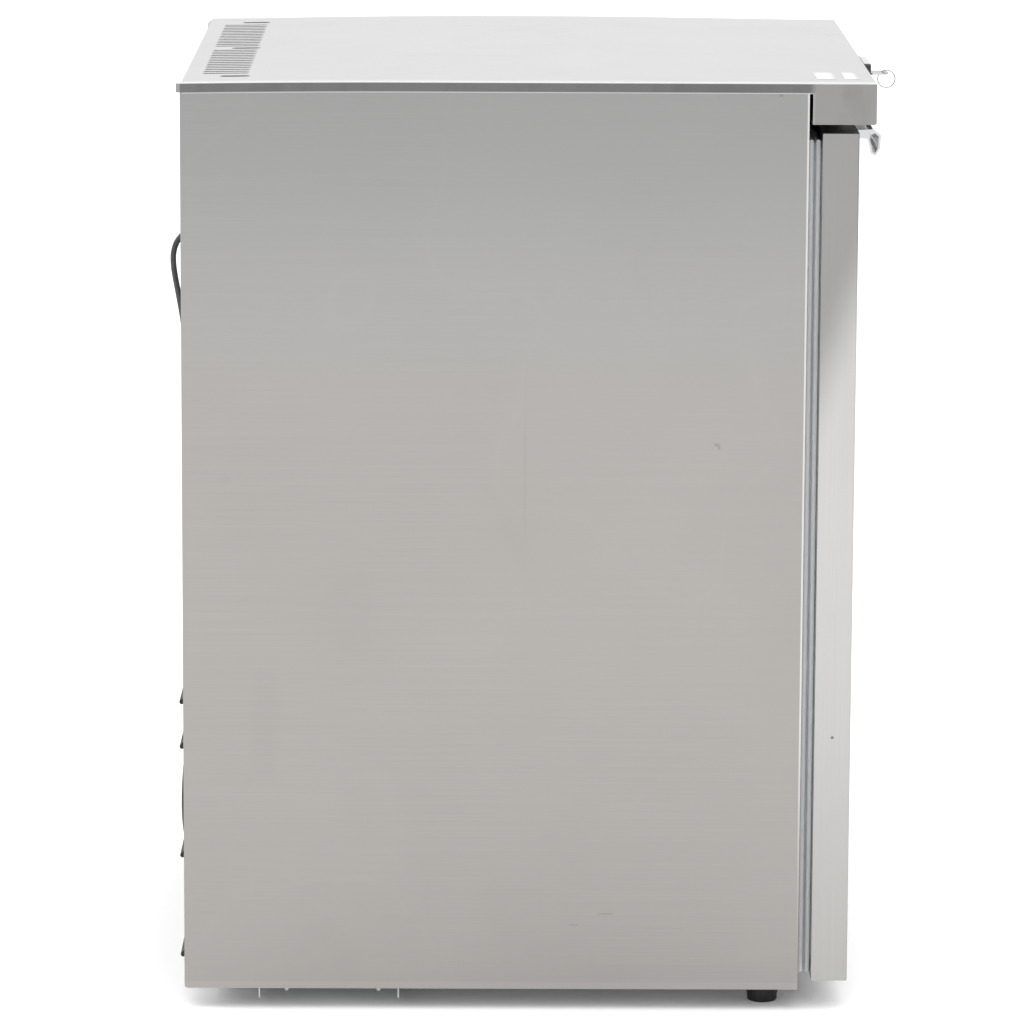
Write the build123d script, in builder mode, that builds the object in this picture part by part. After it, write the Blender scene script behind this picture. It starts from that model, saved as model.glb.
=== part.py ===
from build123d import *
import math
import os

os.makedirs("parts", exist_ok=True)

# ---------------------------------------------------------------- driving dimensions, millimetres
# X is the width, the door faces -Y, +Z is up and the feet stand on Z = 0.
WIDTH = 600.0
HEIGHT = 840.0
HALF = WIDTH / 2
TOP_FRONT = -289.0          # front face of the worktop's deep front edge, the nose
TOP_REAR = 321.5            # rear edge of the worktop
CORNER_REAR = 326.5         # the folded corners stand proud of it
NOSE_REAR = -232.9
NOSE_BOTTOM = 803.0
FLANGE_BOTTOM = 830.0       # bottom of the worktop's shallow side flanges
TOP_SHEET = 1.2
SHEET = 1.0                 # stainless side panels, face frame and door skin

PANEL_X = HALF - 1.0        # outer face of a side panel, just inside the worktop's flange
PANEL_FRONT = -230.0
PANEL_REAR = 323.0
PANEL_BOTTOM = 19.0
COVER_REAR = 314.5          # outer face of the rear duct cover
LIP_REAR = 327.0            # outermost reach of the intake grille's louvres

CAVITY_X = 262.0            # half width of the cold space
CAVITY_REAR = 222.0
CAVITY_BOTTOM = 62.0
CAVITY_TOP = 764.0
HUMP_FRONT = 80.0           # the liner steps over the machine space behind this
HUMP_TOP = 336.0
LINER = 1.5

MACHINE_FRONT = 118.0       # front wall of the machine space, under the hump
MACHINE_TOP = 300.0
DUCT_FRONT = 258.0          # the warm-air duct runs up behind the insulation
DRAIN_Z = 663.0             # the defrost drain passes through the rear wall here

DOOR_X = 299.0
DOOR_FRONT = -274.5
DOOR_REAR = -242.1
DOOR_BOTTOM = 27.5
DOOR_TOP = 795.0
PIVOT_X = 284.0             # vertical hinge axis of the door
PIVOT_Y = -258.0
PIN_R = 4.0
RUNNING_FIT = 0.05          # radial clearance of a pin in its bush

LOCK_Z = 818.6
LOCK_TIP = -262.0           # rear end of the lock barrel, where the cam sits
CONTROL_X = (-104.0, -30.0)
CONTROL_Z = (805.0, 837.0)
CONTROL_FRONT = -297.0

FOOT_X = 260.0
FOOT_Y = -200.0
FOOT_R = 14.0
ROLLER_X = 180.0
ROLLER_Y = 286.0
ROLLER_R = 14.0

PLATE_Y = 190.0             # centre line of the compressor on its carrier plate
PLATE_Y_SPAN = (129.8, 256.8)
COIL_CENTRE = (356.0, 215.0)
CORD_R = 2.9


def block(x, y, z, mode=Mode.ADD):
    """Add or cut a rectangular block between three (low, high) pairs."""
    with Locations(((x[0] + x[1]) / 2, (y[0] + y[1]) / 2, (z[0] + z[1]) / 2)):
        Box(x[1] - x[0], y[1] - y[0], z[1] - z[0], mode=mode)


def rod(axis, at, span, radius, mode=Mode.ADD):
    """Add or cut a round bar along an axis letter, at the other two coordinates."""
    middle = (span[0] + span[1]) / 2
    length = span[1] - span[0]
    if axis == "x":
        place, turn = (middle, at[0], at[1]), (0, 90, 0)
    elif axis == "y":
        place, turn = (at[0], middle, at[1]), (90, 0, 0)
    else:
        place, turn = (at[0], at[1], middle), (0, 0, 0)
    with Locations(place):
        Cylinder(radius, length, rotation=turn, mode=mode)


def save(piece, name):
    """Label a finished piece and write its STEP file."""
    piece.part.label = name
    export_step(piece.part, f"parts/{name}.step")


def outer_edges(piece, axis, across, value):
    """The edges along one axis that lie at a value on another."""
    return piece.edges().filter_by(axis).filter_by_position(across, value - 0.01, value + 0.01)


# ---------------------------------------------------------------- worktop
SLOT_COUNT = 14
SLOT_PITCH = 15.85
SLOT_W = 6.9
SLOT_Y = (264.8, 306.2)
GROUP_X = 123.5
SHORT_SLOT_Y = (263.0, 289.8)
SHORT_SLOT_X = 252.0
SHORT_SLOT_W = 11.0

with BuildPart() as worktop:
    block((-HALF, HALF), (TOP_FRONT, TOP_REAR), (FLANGE_BOTTOM, HEIGHT))
    block((-HALF, HALF), (TOP_FRONT, NOSE_REAR), (NOSE_BOTTOM, HEIGHT))
    fillet(outer_edges(worktop, Axis.X, Axis.Y, TOP_FRONT), radius=2.0)
    fillet(outer_edges(worktop, Axis.Z, Axis.Y, TOP_REAR), radius=1.5)
    for x in ((-HALF, 7.0 - HALF), (HALF - 7.0, HALF)):
        block(x, (TOP_REAR - 3, CORNER_REAR), (FLANGE_BOTTOM + 1, HEIGHT - 0.6))
    fillet(outer_edges(worktop, Axis.Z, Axis.Y, CORNER_REAR), radius=3.0)
    inner = (-HALF + TOP_SHEET, HALF - TOP_SHEET)
    roof = HEIGHT - TOP_SHEET
    block(inner, (NOSE_REAR - 1, TOP_REAR - TOP_SHEET), (FLANGE_BOTTOM - 1, roof), Mode.SUBTRACT)
    block(inner, (TOP_FRONT + TOP_SHEET, NOSE_REAR + 1), (NOSE_BOTTOM + TOP_SHEET, roof), Mode.SUBTRACT)
    # two groups of air slots over the duct, and three short slots beside them
    with BuildSketch(Plane.XY.offset(HEIGHT)):
        for side in (-1, 1):
            with Locations((side * GROUP_X, sum(SLOT_Y) / 2)):
                with GridLocations(SLOT_PITCH, 0, SLOT_COUNT, 1):
                    SlotOverall(SLOT_Y[1] - SLOT_Y[0], SLOT_W, rotation=90)
        with Locations(*[(x, sum(SHORT_SLOT_Y) / 2) for x in (-SHORT_SLOT_X, 0, SHORT_SLOT_X)]):
            SlotOverall(SHORT_SLOT_Y[1] - SHORT_SLOT_Y[0], SHORT_SLOT_W, rotation=90)
    extrude(amount=-2 * TOP_SHEET, mode=Mode.SUBTRACT)
    # openings for the lock, the controller and the lock's cam
    rod("y", (0, LOCK_Z), (TOP_FRONT - 1, TOP_FRONT + 2), 9.5, Mode.SUBTRACT)
    block((CONTROL_X[0] + 1.5, CONTROL_X[1] - 1.5), (TOP_FRONT - 1, TOP_FRONT + 2),
          (CONTROL_Z[0] + 1.5, CONTROL_Z[1] - 1.5), Mode.SUBTRACT)
    block((-12, 34), (-267, -254), (NOSE_BOTTOM - 1, NOSE_BOTTOM + 2), Mode.SUBTRACT)
save(worktop, "worktop")

# ---------------------------------------------------------------- cabinet shell
RETURN_FRONT = 18.0
RETURN_REAR = 12.0
RETURN_BOTTOM = 25.0
SCREW_X = 280.0
SCREW_DY = 41.5

for name, side in (("left_side_panel", -1), ("right_side_panel", 1)):
    outer = side * PANEL_X
    inner_face = side * (PANEL_X - SHEET)
    with BuildPart() as panel:
        block(sorted((outer, inner_face)), (PANEL_FRONT, PANEL_REAR), (PANEL_BOTTOM, FLANGE_BOTTOM))
        block(sorted((outer, outer - side * RETURN_FRONT)), (PANEL_FRONT, PANEL_FRONT + SHEET),
              (PANEL_BOTTOM, FLANGE_BOTTOM))
        block(sorted((outer, outer - side * RETURN_REAR)), (PANEL_REAR - SHEET, PANEL_REAR),
              (PANEL_BOTTOM, FLANGE_BOTTOM))
        block(sorted((outer, outer - side * RETURN_BOTTOM)), (PANEL_FRONT, PANEL_REAR),
              (PANEL_BOTTOM, PANEL_BOTTOM + SHEET))
        for dy in (-SCREW_DY, SCREW_DY):
            rod("z", (side * SCREW_X, PLATE_Y + dy), (PANEL_BOTTOM - 1, PANEL_BOTTOM + 2), 2.0, Mode.SUBTRACT)
    save(panel, name)

BASE_Z = PANEL_BOTTOM + SHEET
WALL_X = PANEL_X - SHEET            # inner face of the side panels

with BuildPart() as base_pan:
    block((-WALL_X, WALL_X), (PANEL_FRONT + SHEET, MACHINE_FRONT), (BASE_Z, BASE_Z + SHEET))
    # welded nut tubes for the screwed feet
    for side in (-1, 1):
        rod("z", (side * FOOT_X, FOOT_Y), (BASE_Z, BASE_Z + 30), 9.0)
        rod("z", (side * FOOT_X, FOOT_Y), (BASE_Z - 1, BASE_Z + 26), PIN_R + RUNNING_FIT, Mode.SUBTRACT)
save(base_pan, "base_pan")

FRAME_X = PANEL_X - RETURN_FRONT
with BuildPart() as front_frame:
    block((-FRAME_X, FRAME_X), (PANEL_FRONT, PANEL_FRONT + SHEET), (BASE_Z + SHEET, FLANGE_BOTTOM))
    block((-CAVITY_X, CAVITY_X), (PANEL_FRONT - 1, PANEL_FRONT + 2),
          (CAVITY_BOTTOM, CAVITY_TOP), Mode.SUBTRACT)
save(front_frame, "front_frame")

# galvanised wall between the insulation and the machine space with its duct
BACK_SHEET = 0.8
back_profile = [
    (MACHINE_FRONT, BASE_Z + SHEET), (MACHINE_FRONT, MACHINE_TOP), (DUCT_FRONT, MACHINE_TOP),
    (DUCT_FRONT, FLANGE_BOTTOM), (DUCT_FRONT + BACK_SHEET, FLANGE_BOTTOM),
    (DUCT_FRONT + BACK_SHEET, MACHINE_TOP - BACK_SHEET),
    (MACHINE_FRONT + BACK_SHEET, MACHINE_TOP - BACK_SHEET),
    (MACHINE_FRONT + BACK_SHEET, BASE_Z + SHEET),
]
with BuildPart() as back_wall:
    with BuildSketch(Plane.YZ.offset(-WALL_X)):
        with BuildLine():
            Polyline(*back_profile, close=True)
        make_face()
    extrude(amount=2 * WALL_X)
    rod("y", (0, DRAIN_Z), (DUCT_FRONT - 1, DUCT_FRONT + 2), 8.0, Mode.SUBTRACT)
save(back_wall, "back_wall")

with BuildPart() as insulation:
    foam_outline = [
        (PANEL_FRONT + SHEET, BASE_Z + SHEET), (MACHINE_FRONT, BASE_Z + SHEET), (MACHINE_FRONT, MACHINE_TOP),
        (DUCT_FRONT, MACHINE_TOP), (DUCT_FRONT, roof), (PANEL_FRONT + SHEET, roof),
    ]
    with BuildSketch(Plane.YZ.offset(-WALL_X)):
        with BuildLine():
            Polyline(*foam_outline, close=True)
        make_face()
    extrude(amount=2 * WALL_X)
    hole = CAVITY_X + LINER
    block((-hole, hole), (PANEL_FRONT, CAVITY_REAR + LINER),
          (HUMP_TOP - LINER, CAVITY_TOP + LINER), Mode.SUBTRACT)
    block((-hole, hole), (PANEL_FRONT, HUMP_FRONT + LINER),
          (CAVITY_BOTTOM - LINER, HUMP_TOP), Mode.SUBTRACT)
    rod("y", (0, DRAIN_Z), (CAVITY_REAR, DUCT_FRONT + 1), 8.0, Mode.SUBTRACT)
    for side in (-1, 1):
        rod("z", (side * FOOT_X, FOOT_Y), (BASE_Z, BASE_Z + 30), 9.0, Mode.SUBTRACT)
save(insulation, "insulation")

with BuildPart() as inner_liner:
    hole = CAVITY_X + LINER
    mouth = PANEL_FRONT + SHEET
    block((-hole, hole), (mouth, CAVITY_REAR + LINER), (HUMP_TOP - LINER, CAVITY_TOP + LINER))
    block((-hole, hole), (mouth, HUMP_FRONT + LINER), (CAVITY_BOTTOM - LINER, HUMP_TOP))
    block((-CAVITY_X, CAVITY_X), (mouth - 1, CAVITY_REAR), (HUMP_TOP, CAVITY_TOP), Mode.SUBTRACT)
    block((-CAVITY_X, CAVITY_X), (mouth - 1, HUMP_FRONT), (CAVITY_BOTTOM, HUMP_TOP + 1), Mode.SUBTRACT)
    rod("y", (0, DRAIN_Z), (CAVITY_REAR - 1, CAVITY_REAR + 3), 8.0, Mode.SUBTRACT)
save(inner_liner, "inner_liner")

# rear covers
GLAND_X = 262.0
GLAND_Z = 637.5
with BuildPart() as rear_duct_cover:
    block((-WALL_X, WALL_X), (COVER_REAR - SHEET, COVER_REAR), (MACHINE_TOP, FLANGE_BOTTOM - 1))
    for side in (-1, 1):
        block(sorted((side * WALL_X, side * (WALL_X - SHEET))), (COVER_REAR - 14, COVER_REAR),
              (MACHINE_TOP, FLANGE_BOTTOM - 1))
    # a shallow pressed field stiffens the sheet
    block((-230, 230), (COVER_REAR - SHEET, COVER_REAR + 3), (360, 780))
    block((-230 + SHEET, 230 - SHEET), (COVER_REAR - SHEET - 1, COVER_REAR + 3 - SHEET),
          (360 + SHEET, 780 - SHEET), Mode.SUBTRACT)
    rod("y", (GLAND_X, GLAND_Z), (COVER_REAR - 3, COVER_REAR + 3), 5.0, Mode.SUBTRACT)
save(rear_duct_cover, "rear_duct_cover")

# black intake grille: louvres with rounded lips, the short rows leave room at the left end
LOUVRE_ROWS = ((280, 10.5), (239, 10.5), (190, 150), (139, 10.5), (93, 150), (47, 10.5))
GRILLE_X = 297.0
GRILLE_TOP = MACHINE_TOP - 1.0
GRILLE_BOTTOM = 35.0
with BuildPart() as intake_grille:
    block((-GRILLE_X, GRILLE_X), (COVER_REAR - 1.5, COVER_REAR), (GRILLE_BOTTOM, GRILLE_TOP))
    for lip_z, inset in LOUVRE_ROWS:
        low, high = -GRILLE_X + inset, GRILLE_X - 10.5
        with BuildSketch(Plane.YZ.offset(low)):
            with BuildLine():
                Polyline((COVER_REAR - 1.5, lip_z + 19), (COVER_REAR, lip_z + 19), (LIP_REAR - 1, lip_z + 1),
                         (LIP_REAR - 3.2, lip_z - 1.5), (COVER_REAR - 1.5, lip_z + 15), close=True)
            make_face()
            with Locations((LIP_REAR - 2.2, lip_z)):
                Circle(2.2)
        extrude(amount=high - low)
        block((low + 4, high - 4), (COVER_REAR - 3, COVER_REAR + 0.5), (lip_z - 3, lip_z + 10), Mode.SUBTRACT)
save(intake_grille, "intake_grille")

# ---------------------------------------------------------------- underframe, feet and rollers
PLATE_TOP = PANEL_BOTTOM
PLATE_SHEET = 1.5
FLANGE_LOW = 6.6
COMP_DX = 82.5
COMP_DY = 50.0

with BuildPart() as compressor_plate:
    y_span = PLATE_Y_SPAN
    block((-286, 286), y_span, (PLATE_TOP - PLATE_SHEET, PLATE_TOP))
    block((-286, 286), (y_span[0], y_span[0] + PLATE_SHEET), (FLANGE_LOW, PLATE_TOP))
    block((-286, 286), (y_span[1] - PLATE_SHEET, y_span[1]), (FLANGE_LOW, PLATE_TOP))
    with BuildSketch(Plane.XY.offset(PLATE_TOP)):
        with Locations((0, PLATE_Y)):
            with GridLocations(2 * SCREW_X, 2 * SCREW_DY, 2, 2):
                Circle(2.0)
            with GridLocations(2 * COMP_DX, 2 * COMP_DY, 2, 2):
                Circle(3.0)
    extrude(amount=-2 * PLATE_SHEET, mode=Mode.SUBTRACT)
save(compressor_plate, "compressor_plate")

RAIL_Y = (262.0, 310.0)
RAIL_TOP = 33.0
EAR_IN = 8.0
EAR_OUT = 9.5
with BuildPart() as rear_rail:
    block((-WALL_X, WALL_X), RAIL_Y, (RAIL_TOP - PLATE_SHEET, RAIL_TOP))
    block((-272, 272), (RAIL_Y[0], RAIL_Y[0] + PLATE_SHEET), (PANEL_BOTTOM + 1, RAIL_TOP))
    block((-272, 272), (RAIL_Y[1] - PLATE_SHEET, RAIL_Y[1]), (PANEL_BOTTOM + 1, RAIL_TOP))
    # two bent ears and a riveted axle for each roller
    for x in (-ROLLER_X, ROLLER_X):
        for ear in (-1, 1):
            edge = sorted((x + ear * EAR_IN, x + ear * EAR_OUT))
            block(edge, (ROLLER_Y - 8, ROLLER_Y + 8), (ROLLER_R - 6, RAIL_TOP - PLATE_SHEET))
        rod("x", (ROLLER_Y, ROLLER_R), (x - EAR_OUT - 2, x + EAR_OUT + 2), 3.0)
save(rear_rail, "rear_rail")

for name, side in (("left_roller", -1), ("right_roller", 1)):
    x = side * ROLLER_X
    with BuildPart() as roller:
        rod("x", (ROLLER_Y, ROLLER_R), (x - 6.5, x + 6.5), ROLLER_R)
        fillet(roller.edges().filter_by(GeomType.CIRCLE), radius=1.5)
        rod("x", (ROLLER_Y, ROLLER_R), (x - 7.5, x + 7.5), 5.5)
        rod("x", (ROLLER_Y, ROLLER_R), (x - 20, x + 20), 3.0 + RUNNING_FIT, Mode.SUBTRACT)
    save(roller, name)

for name, side in (("left_foot", -1), ("right_foot", 1)):
    with BuildPart() as foot:
        with BuildSketch(Plane.XZ.offset(-FOOT_Y)):
            with BuildLine():
                Polyline((side * FOOT_X, 0), (side * FOOT_X + FOOT_R - 1.5, 0),
                         (side * FOOT_X + FOOT_R - 0.5, 1.5),
                         (side * FOOT_X + FOOT_R - 0.5, 6.5), (side * FOOT_X + FOOT_R, 7.5),
                         (side * FOOT_X + FOOT_R, 14), (side * FOOT_X + FOOT_R - 2, 16),
                         (side * FOOT_X + PIN_R, 16), (side * FOOT_X + PIN_R, 44),
                         (side * FOOT_X, 44), close=True)
            make_face()
        revolve(axis=Axis((side * FOOT_X, FOOT_Y, 0), (0, 0, 1)))
    save(foot, name)

# ---------------------------------------------------------------- refrigeration
with BuildPart() as compressor:
    with BuildSketch(Plane.XY.offset(46)):
        with Locations((0, PLATE_Y)):
            Ellipse(92, 64)
    extrude(amount=158)
    fillet(compressor.edges().filter_by(Plane.XY), radius=26)
    with BuildSketch(Plane.XY.offset(118)):
        with Locations((0, PLATE_Y)):
            Ellipse(95, 67)
    extrude(amount=4)
    with BuildSketch(Plane.XY.offset(39)):
        with Locations((0, PLATE_Y)):
            RectangleRounded(190, 122, 12)
            with GridLocations(2 * COMP_DX, 2 * COMP_DY, 2, 2):
                Circle(3.0, mode=Mode.SUBTRACT)
    extrude(amount=3)
    block((-45, 45), (PLATE_Y - 35, PLATE_Y + 35), (41, 60))
save(compressor, "compressor")

with BuildPart() as compressor_grommets:
    for x in (-COMP_DX, COMP_DX):
        for dy in (-COMP_DY, COMP_DY):
            rod("z", (x, PLATE_Y + dy), (PLATE_TOP, 39), 8.5)
            rod("z", (x, PLATE_Y + dy), (PLATE_TOP - 1, 40), 3.0, Mode.SUBTRACT)
save(compressor_grommets, "compressor_grommets")

with BuildPart() as base_fasteners:
    # dome-headed screws that hold the carrier plate under the side panels' returns
    for x in (-SCREW_X, SCREW_X):
        for dy in (-SCREW_DY, SCREW_DY):
            rod("z", (x, PLATE_Y + dy), (PLATE_TOP - PLATE_SHEET, PLATE_TOP + 4), 2.0)
            with BuildSketch(Plane.XY.offset(PLATE_TOP - PLATE_SHEET)):
                with Locations((x, PLATE_Y + dy)):
                    Circle(3.3)
            extrude(amount=-5.2, taper=12)
    # hexagon bolts and nuts of the compressor's four rubber mounts
    for x in (-COMP_DX, COMP_DX):
        for dy in (-COMP_DY, COMP_DY):
            rod("z", (x, PLATE_Y + dy), (PLATE_TOP - 4.5, 46), 3.0)
            with BuildSketch(Plane.XY.offset(42)):
                with Locations((x, PLATE_Y + dy)):
                    RegularPolygon(5.5, 6)
            extrude(amount=4)
            with BuildSketch(Plane.XY.offset(PLATE_TOP - PLATE_SHEET)):
                with Locations((x, PLATE_Y + dy)):
                    RegularPolygon(5.5, 6)
            extrude(amount=-3)
save(base_fasteners, "base_fasteners")

with BuildPart() as start_relay:
    block((96, 138), (PLATE_Y - 26, PLATE_Y + 26), (85, 150))
    fillet(start_relay.edges().filter_by(Axis.Z), radius=5)
save(start_relay, "start_relay")

TRAY_Z = 214.0
with BuildPart() as drip_tray:
    block((-110, 110), (136, 244), (TRAY_Z, TRAY_Z + 30))
    fillet(drip_tray.edges().filter_by(Axis.Z), radius=12)
    offset(amount=-2, openings=drip_tray.faces().sort_by(Axis.Z)[-1:])
    for x in (-40, 40):
        block((x - 6, x + 6), (178, 202), (204, TRAY_Z))
save(drip_tray, "drip_tray")

with BuildPart() as drain_tube:
    with BuildLine(Plane.YZ.offset(0)) as drain_line:
        FilletPolyline((CAVITY_REAR - 6, DRAIN_Z), (DUCT_FRONT + 10, DRAIN_Z), (DUCT_FRONT + 10, 284),
                       (228, 262), (228, 236), radius=9)
    with BuildSketch(Plane(origin=drain_line.line @ 0, z_dir=drain_line.line % 0)):
        Circle(7)
        Circle(5, mode=Mode.SUBTRACT)
    sweep()
save(drain_tube, "drain_tube")

# wire-and-tube condenser, standing in the duct
COND_Y = 290.0
COND_X = 230.0
COND_PASSES = [380 + 44 * row for row in range(10)]
cond_route = []
for row, z in enumerate(COND_PASSES):
    ends = (-COND_X, COND_X) if row % 2 == 0 else (COND_X, -COND_X)
    cond_route += [(ends[0], z), (ends[1], z)]
with BuildPart() as condenser:
    with BuildLine(Plane.XZ.offset(-COND_Y)) as cond_line:
        FilletPolyline(*cond_route, radius=15)
    with BuildSketch(Plane(origin=cond_line.line @ 0, z_dir=cond_line.line % 0)):
        Circle(2.6)
    sweep()
    for step in range(9):
        x = -200 + 50 * step
        rod("z", (x, COND_Y - 3), (COND_PASSES[0] - 8, COND_PASSES[-1] + 8), 1.2)
save(condenser, "condenser")

with BuildPart() as refrigerant_lines:
    with BuildLine() as hot_line:
        FilletPolyline((-40, 248.4, 150), (-40, 285, 150), (-130, 285, 150), (-130, 285, 240),
                       (-230, 285, 260), (-230, 290, 376), radius=8)
    with BuildSketch(Plane(origin=hot_line.line @ 0, z_dir=hot_line.line % 0)):
        Circle(2.6)
    sweep()
    with BuildLine() as dry_line:
        FilletPolyline((-170, 285, 198), (-170, 285, 225), (-170, 300, 245),
                       (-262, 300, 245), (-262, 300, 776),
                       (-234, 292, 776), radius=5)
    with BuildSketch(Plane(origin=dry_line.line @ 0, z_dir=dry_line.line % 0)):
        Circle(2.0)
    sweep()
    with BuildLine() as return_line:
        FilletPolyline((40, 250.2, 140), (40, 272, 140), (60, 272, 140), (60, 272, 300), (60, 266, 700),
                       radius=5)
    with BuildSketch(Plane(origin=return_line.line @ 0, z_dir=return_line.line % 0)):
        Circle(4.0)
    sweep()
    # filter drier, a copper capsule between the condenser and the capillary
    rod("z", (-170, 285), (100, 190), 9.5)
    rod("z", (-170, 285), (92, 198), 2.0)
save(refrigerant_lines, "refrigerant_lines")

EVAP_X = 140.0
EVAP_Y = (190.0, 218.0)
EVAP_Z = (672.0, 742.0)
with BuildPart() as evaporator:
    for step in range(21):
        x = -EVAP_X + step * 2 * EVAP_X / 20
        block((x - 0.6, x + 0.6), EVAP_Y, EVAP_Z)
    for y in (197, 211):
        for z in (684, 707, 730):
            rod("x", (y, z), (-EVAP_X - 6, EVAP_X + 6), 4.0)
save(evaporator, "evaporator")

FAN_X = 0.0
FAN_Z = 707.0
FAN_R = 46.0
with BuildPart() as evaporator_cover:
    block((-160, 160), (152, CAVITY_REAR), (652, CAVITY_TOP))
    fillet(evaporator_cover.edges().filter_by(Axis.X).filter_by_position(Axis.Y, 151, 153)
           .sort_by(Axis.Z)[:1], radius=10)
    block((-158, 158), (154, CAVITY_REAR + 1), (654, CAVITY_TOP + 1), Mode.SUBTRACT)
    rod("y", (FAN_X, FAN_Z), (150, 156), FAN_R + 3, Mode.SUBTRACT)
    for side in (-1, 1):
        for row in range(6):
            z = 676 + 12 * row
            block(sorted((side * 72, side * 140)), (150, 156), (z - 2, z + 2), Mode.SUBTRACT)
    # moulded finger guard in the fan's opening
    with BuildSketch(Plane.XZ.offset(-152)):
        with Locations((FAN_X, FAN_Z)):
            for radius in (10, 20, 30, 40):
                Circle(radius)
                Circle(radius - 1.8, mode=Mode.SUBTRACT)
            with PolarLocations(29, 6, start_angle=30):
                Rectangle(42, 2.4)
    extrude(amount=-2)
save(evaporator_cover, "evaporator_cover")

with BuildPart() as fan_motor:
    rod("y", (FAN_X, FAN_Z), (172, 188), 18)
    rod("y", (FAN_X, FAN_Z), (158, 172), 1.5)
    for side in (-1, 1):
        block(sorted((side * 16, side * 56)), (184, 187), (FAN_Z - 4, FAN_Z + 4))
        block(sorted((side * 53, side * 56)), (154, 187), (FAN_Z - 4, FAN_Z + 4))
save(fan_motor, "fan_motor")

BLADE_PITCH = math.radians(28)
with BuildPart() as fan_blades:
    rod("y", (FAN_X, FAN_Z), (159, 171), 11)
    for blade in range(5):
        turn = math.radians(72 * blade)
        outward = Vector(math.cos(turn), 0, math.sin(turn))
        across = Vector(-math.sin(turn), 0, math.cos(turn))
        start = Vector(FAN_X, 165, FAN_Z) + outward * 9
        normal = Vector(0, math.cos(BLADE_PITCH), 0) + across * math.sin(BLADE_PITCH)
        with BuildSketch(Plane(origin=start, x_dir=normal, z_dir=outward)):
            Rectangle(1.4, 17)
        extrude(amount=FAN_R - 11)
    rod("y", (FAN_X, FAN_Z), (150, 180), 1.5 + RUNNING_FIT, Mode.SUBTRACT)
save(fan_blades, "fan_blades")

with BuildPart() as lamp:
    block((-110, 110), (-205, -180), (CAVITY_TOP - 9, CAVITY_TOP))
    lamp_bottom = (CAVITY_TOP - 9.1, CAVITY_TOP - 8.9)
    fillet(lamp.edges().filter_by(Axis.X).filter_by_position(Axis.Z, *lamp_bottom), radius=4)
save(lamp, "lamp")

# ---------------------------------------------------------------- shelves
SHELF_Z = {"lower_shelf": 372.0, "upper_shelf": 532.0}
SHELF_X = 250.0
SHELF_Y = (-190.0, 196.0)
CLIP_Y = (-150.0, 160.0)
CLIP_GAP = 0.3

with BuildPart() as shelf_uprights:
    for side in (-1, 1):
        for y in CLIP_Y:
            face = side * CAVITY_X
            low = 130 if y < HUMP_FRONT else 345
            block(sorted((face, face - side * 3)), (y - 9, y + 9), (low, 640))
            steps = int((640 - low) / 24)
            for step in range(steps):
                z = low + 12 + 24 * step
                block(sorted((face + side, face - side * 4)), (y - 3, y + 3), (z - 5, z + 5), Mode.SUBTRACT)
save(shelf_uprights, "shelf_uprights")

with BuildPart() as shelf_clips:
    for shelf_z in SHELF_Z.values():
        for side in (-1, 1):
            for y in CLIP_Y:
                face = side * (CAVITY_X - 3)
                top = shelf_z - 3 - CLIP_GAP
                block(sorted((face, face - side * 14)), (y - 9, y + 9), (top - 2, top))
                block(sorted((face, face - side * 2)), (y - 9, y + 9), (top - 22, top))
save(shelf_clips, "shelf_clips")

for name, z in SHELF_Z.items():
    with BuildPart() as shelf:
        for x in (-SHELF_X, SHELF_X):
            rod("y", (x, z), SHELF_Y, 3.0)
        for y in SHELF_Y:
            rod("x", (y, z), (-SHELF_X - 3, SHELF_X + 3), 3.0)
        for y in (-70, 60):
            rod("x", (y, z), (-SHELF_X, SHELF_X), 2.5)
        for step in range(19):
            x = -SHELF_X + 25 * (step + 1)
            rod("y", (x, z + 2.2), SHELF_Y, 1.5)
    save(shelf, name)

# ---------------------------------------------------------------- controller and lock in the nose
with BuildPart() as controller_body:
    block(CONTROL_X, (CONTROL_FRONT, TOP_FRONT), CONTROL_Z)
    fillet(controller_body.edges().filter_by(Axis.Y), radius=2.5)
    fillet(controller_body.faces().sort_by(Axis.Y)[0].edges(), radius=1.2)
    block((CONTROL_X[0] + 1.6, CONTROL_X[1] - 1.6), (TOP_FRONT, -240),
          (CONTROL_Z[0] + 1.6, CONTROL_Z[1] - 1.6))
    block((CONTROL_X[0] + 4, CONTROL_X[1] - 4), (CONTROL_FRONT + 2.5, -242),
          (CONTROL_Z[0] + 4, CONTROL_Z[1] - 4),
          Mode.SUBTRACT)
    # window and four button openings
    block((-98, -60), (CONTROL_FRONT - 1, CONTROL_FRONT + 3), (810, 832), Mode.SUBTRACT)
    for x in (-51, -40):
        for z in (815.5, 826.5):
            block((x - 4.2, x + 4.2), (CONTROL_FRONT - 1, CONTROL_FRONT + 3),
                  (z - 3.2, z + 3.2), Mode.SUBTRACT)
save(controller_body, "controller_body")

with BuildPart() as controller_window:
    block((-98, -60), (CONTROL_FRONT + 0.6, CONTROL_FRONT + 2.4), (810, 832))
save(controller_window, "controller_window")

with BuildPart() as controller_board:
    block((CONTROL_X[0] + 4.2, CONTROL_X[1] - 4.2), (CONTROL_FRONT + 8, CONTROL_FRONT + 9.6),
          (CONTROL_Z[0] + 4.2, CONTROL_Z[1] - 4.2))
    block((-95, -63), (CONTROL_FRONT + 2.6, CONTROL_FRONT + 8), (812, 830))
save(controller_board, "controller_board")

for name, x, z in (("button_set", -51, 826.5), ("button_up", -40, 826.5),
                   ("button_lamp", -51, 815.5), ("button_down", -40, 815.5)):
    with BuildPart() as button:
        block((x - 4, x + 4), (CONTROL_FRONT - 0.9, CONTROL_FRONT + 4.2), (z - 3, z + 3))
        fillet(button.faces().sort_by(Axis.Y)[0].edges(), radius=0.8)
        block((x - 4.6, x + 4.6), (CONTROL_FRONT + 2.7, CONTROL_FRONT + 4.2), (z - 3.6, z + 3.6))
    save(button, name)

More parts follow.
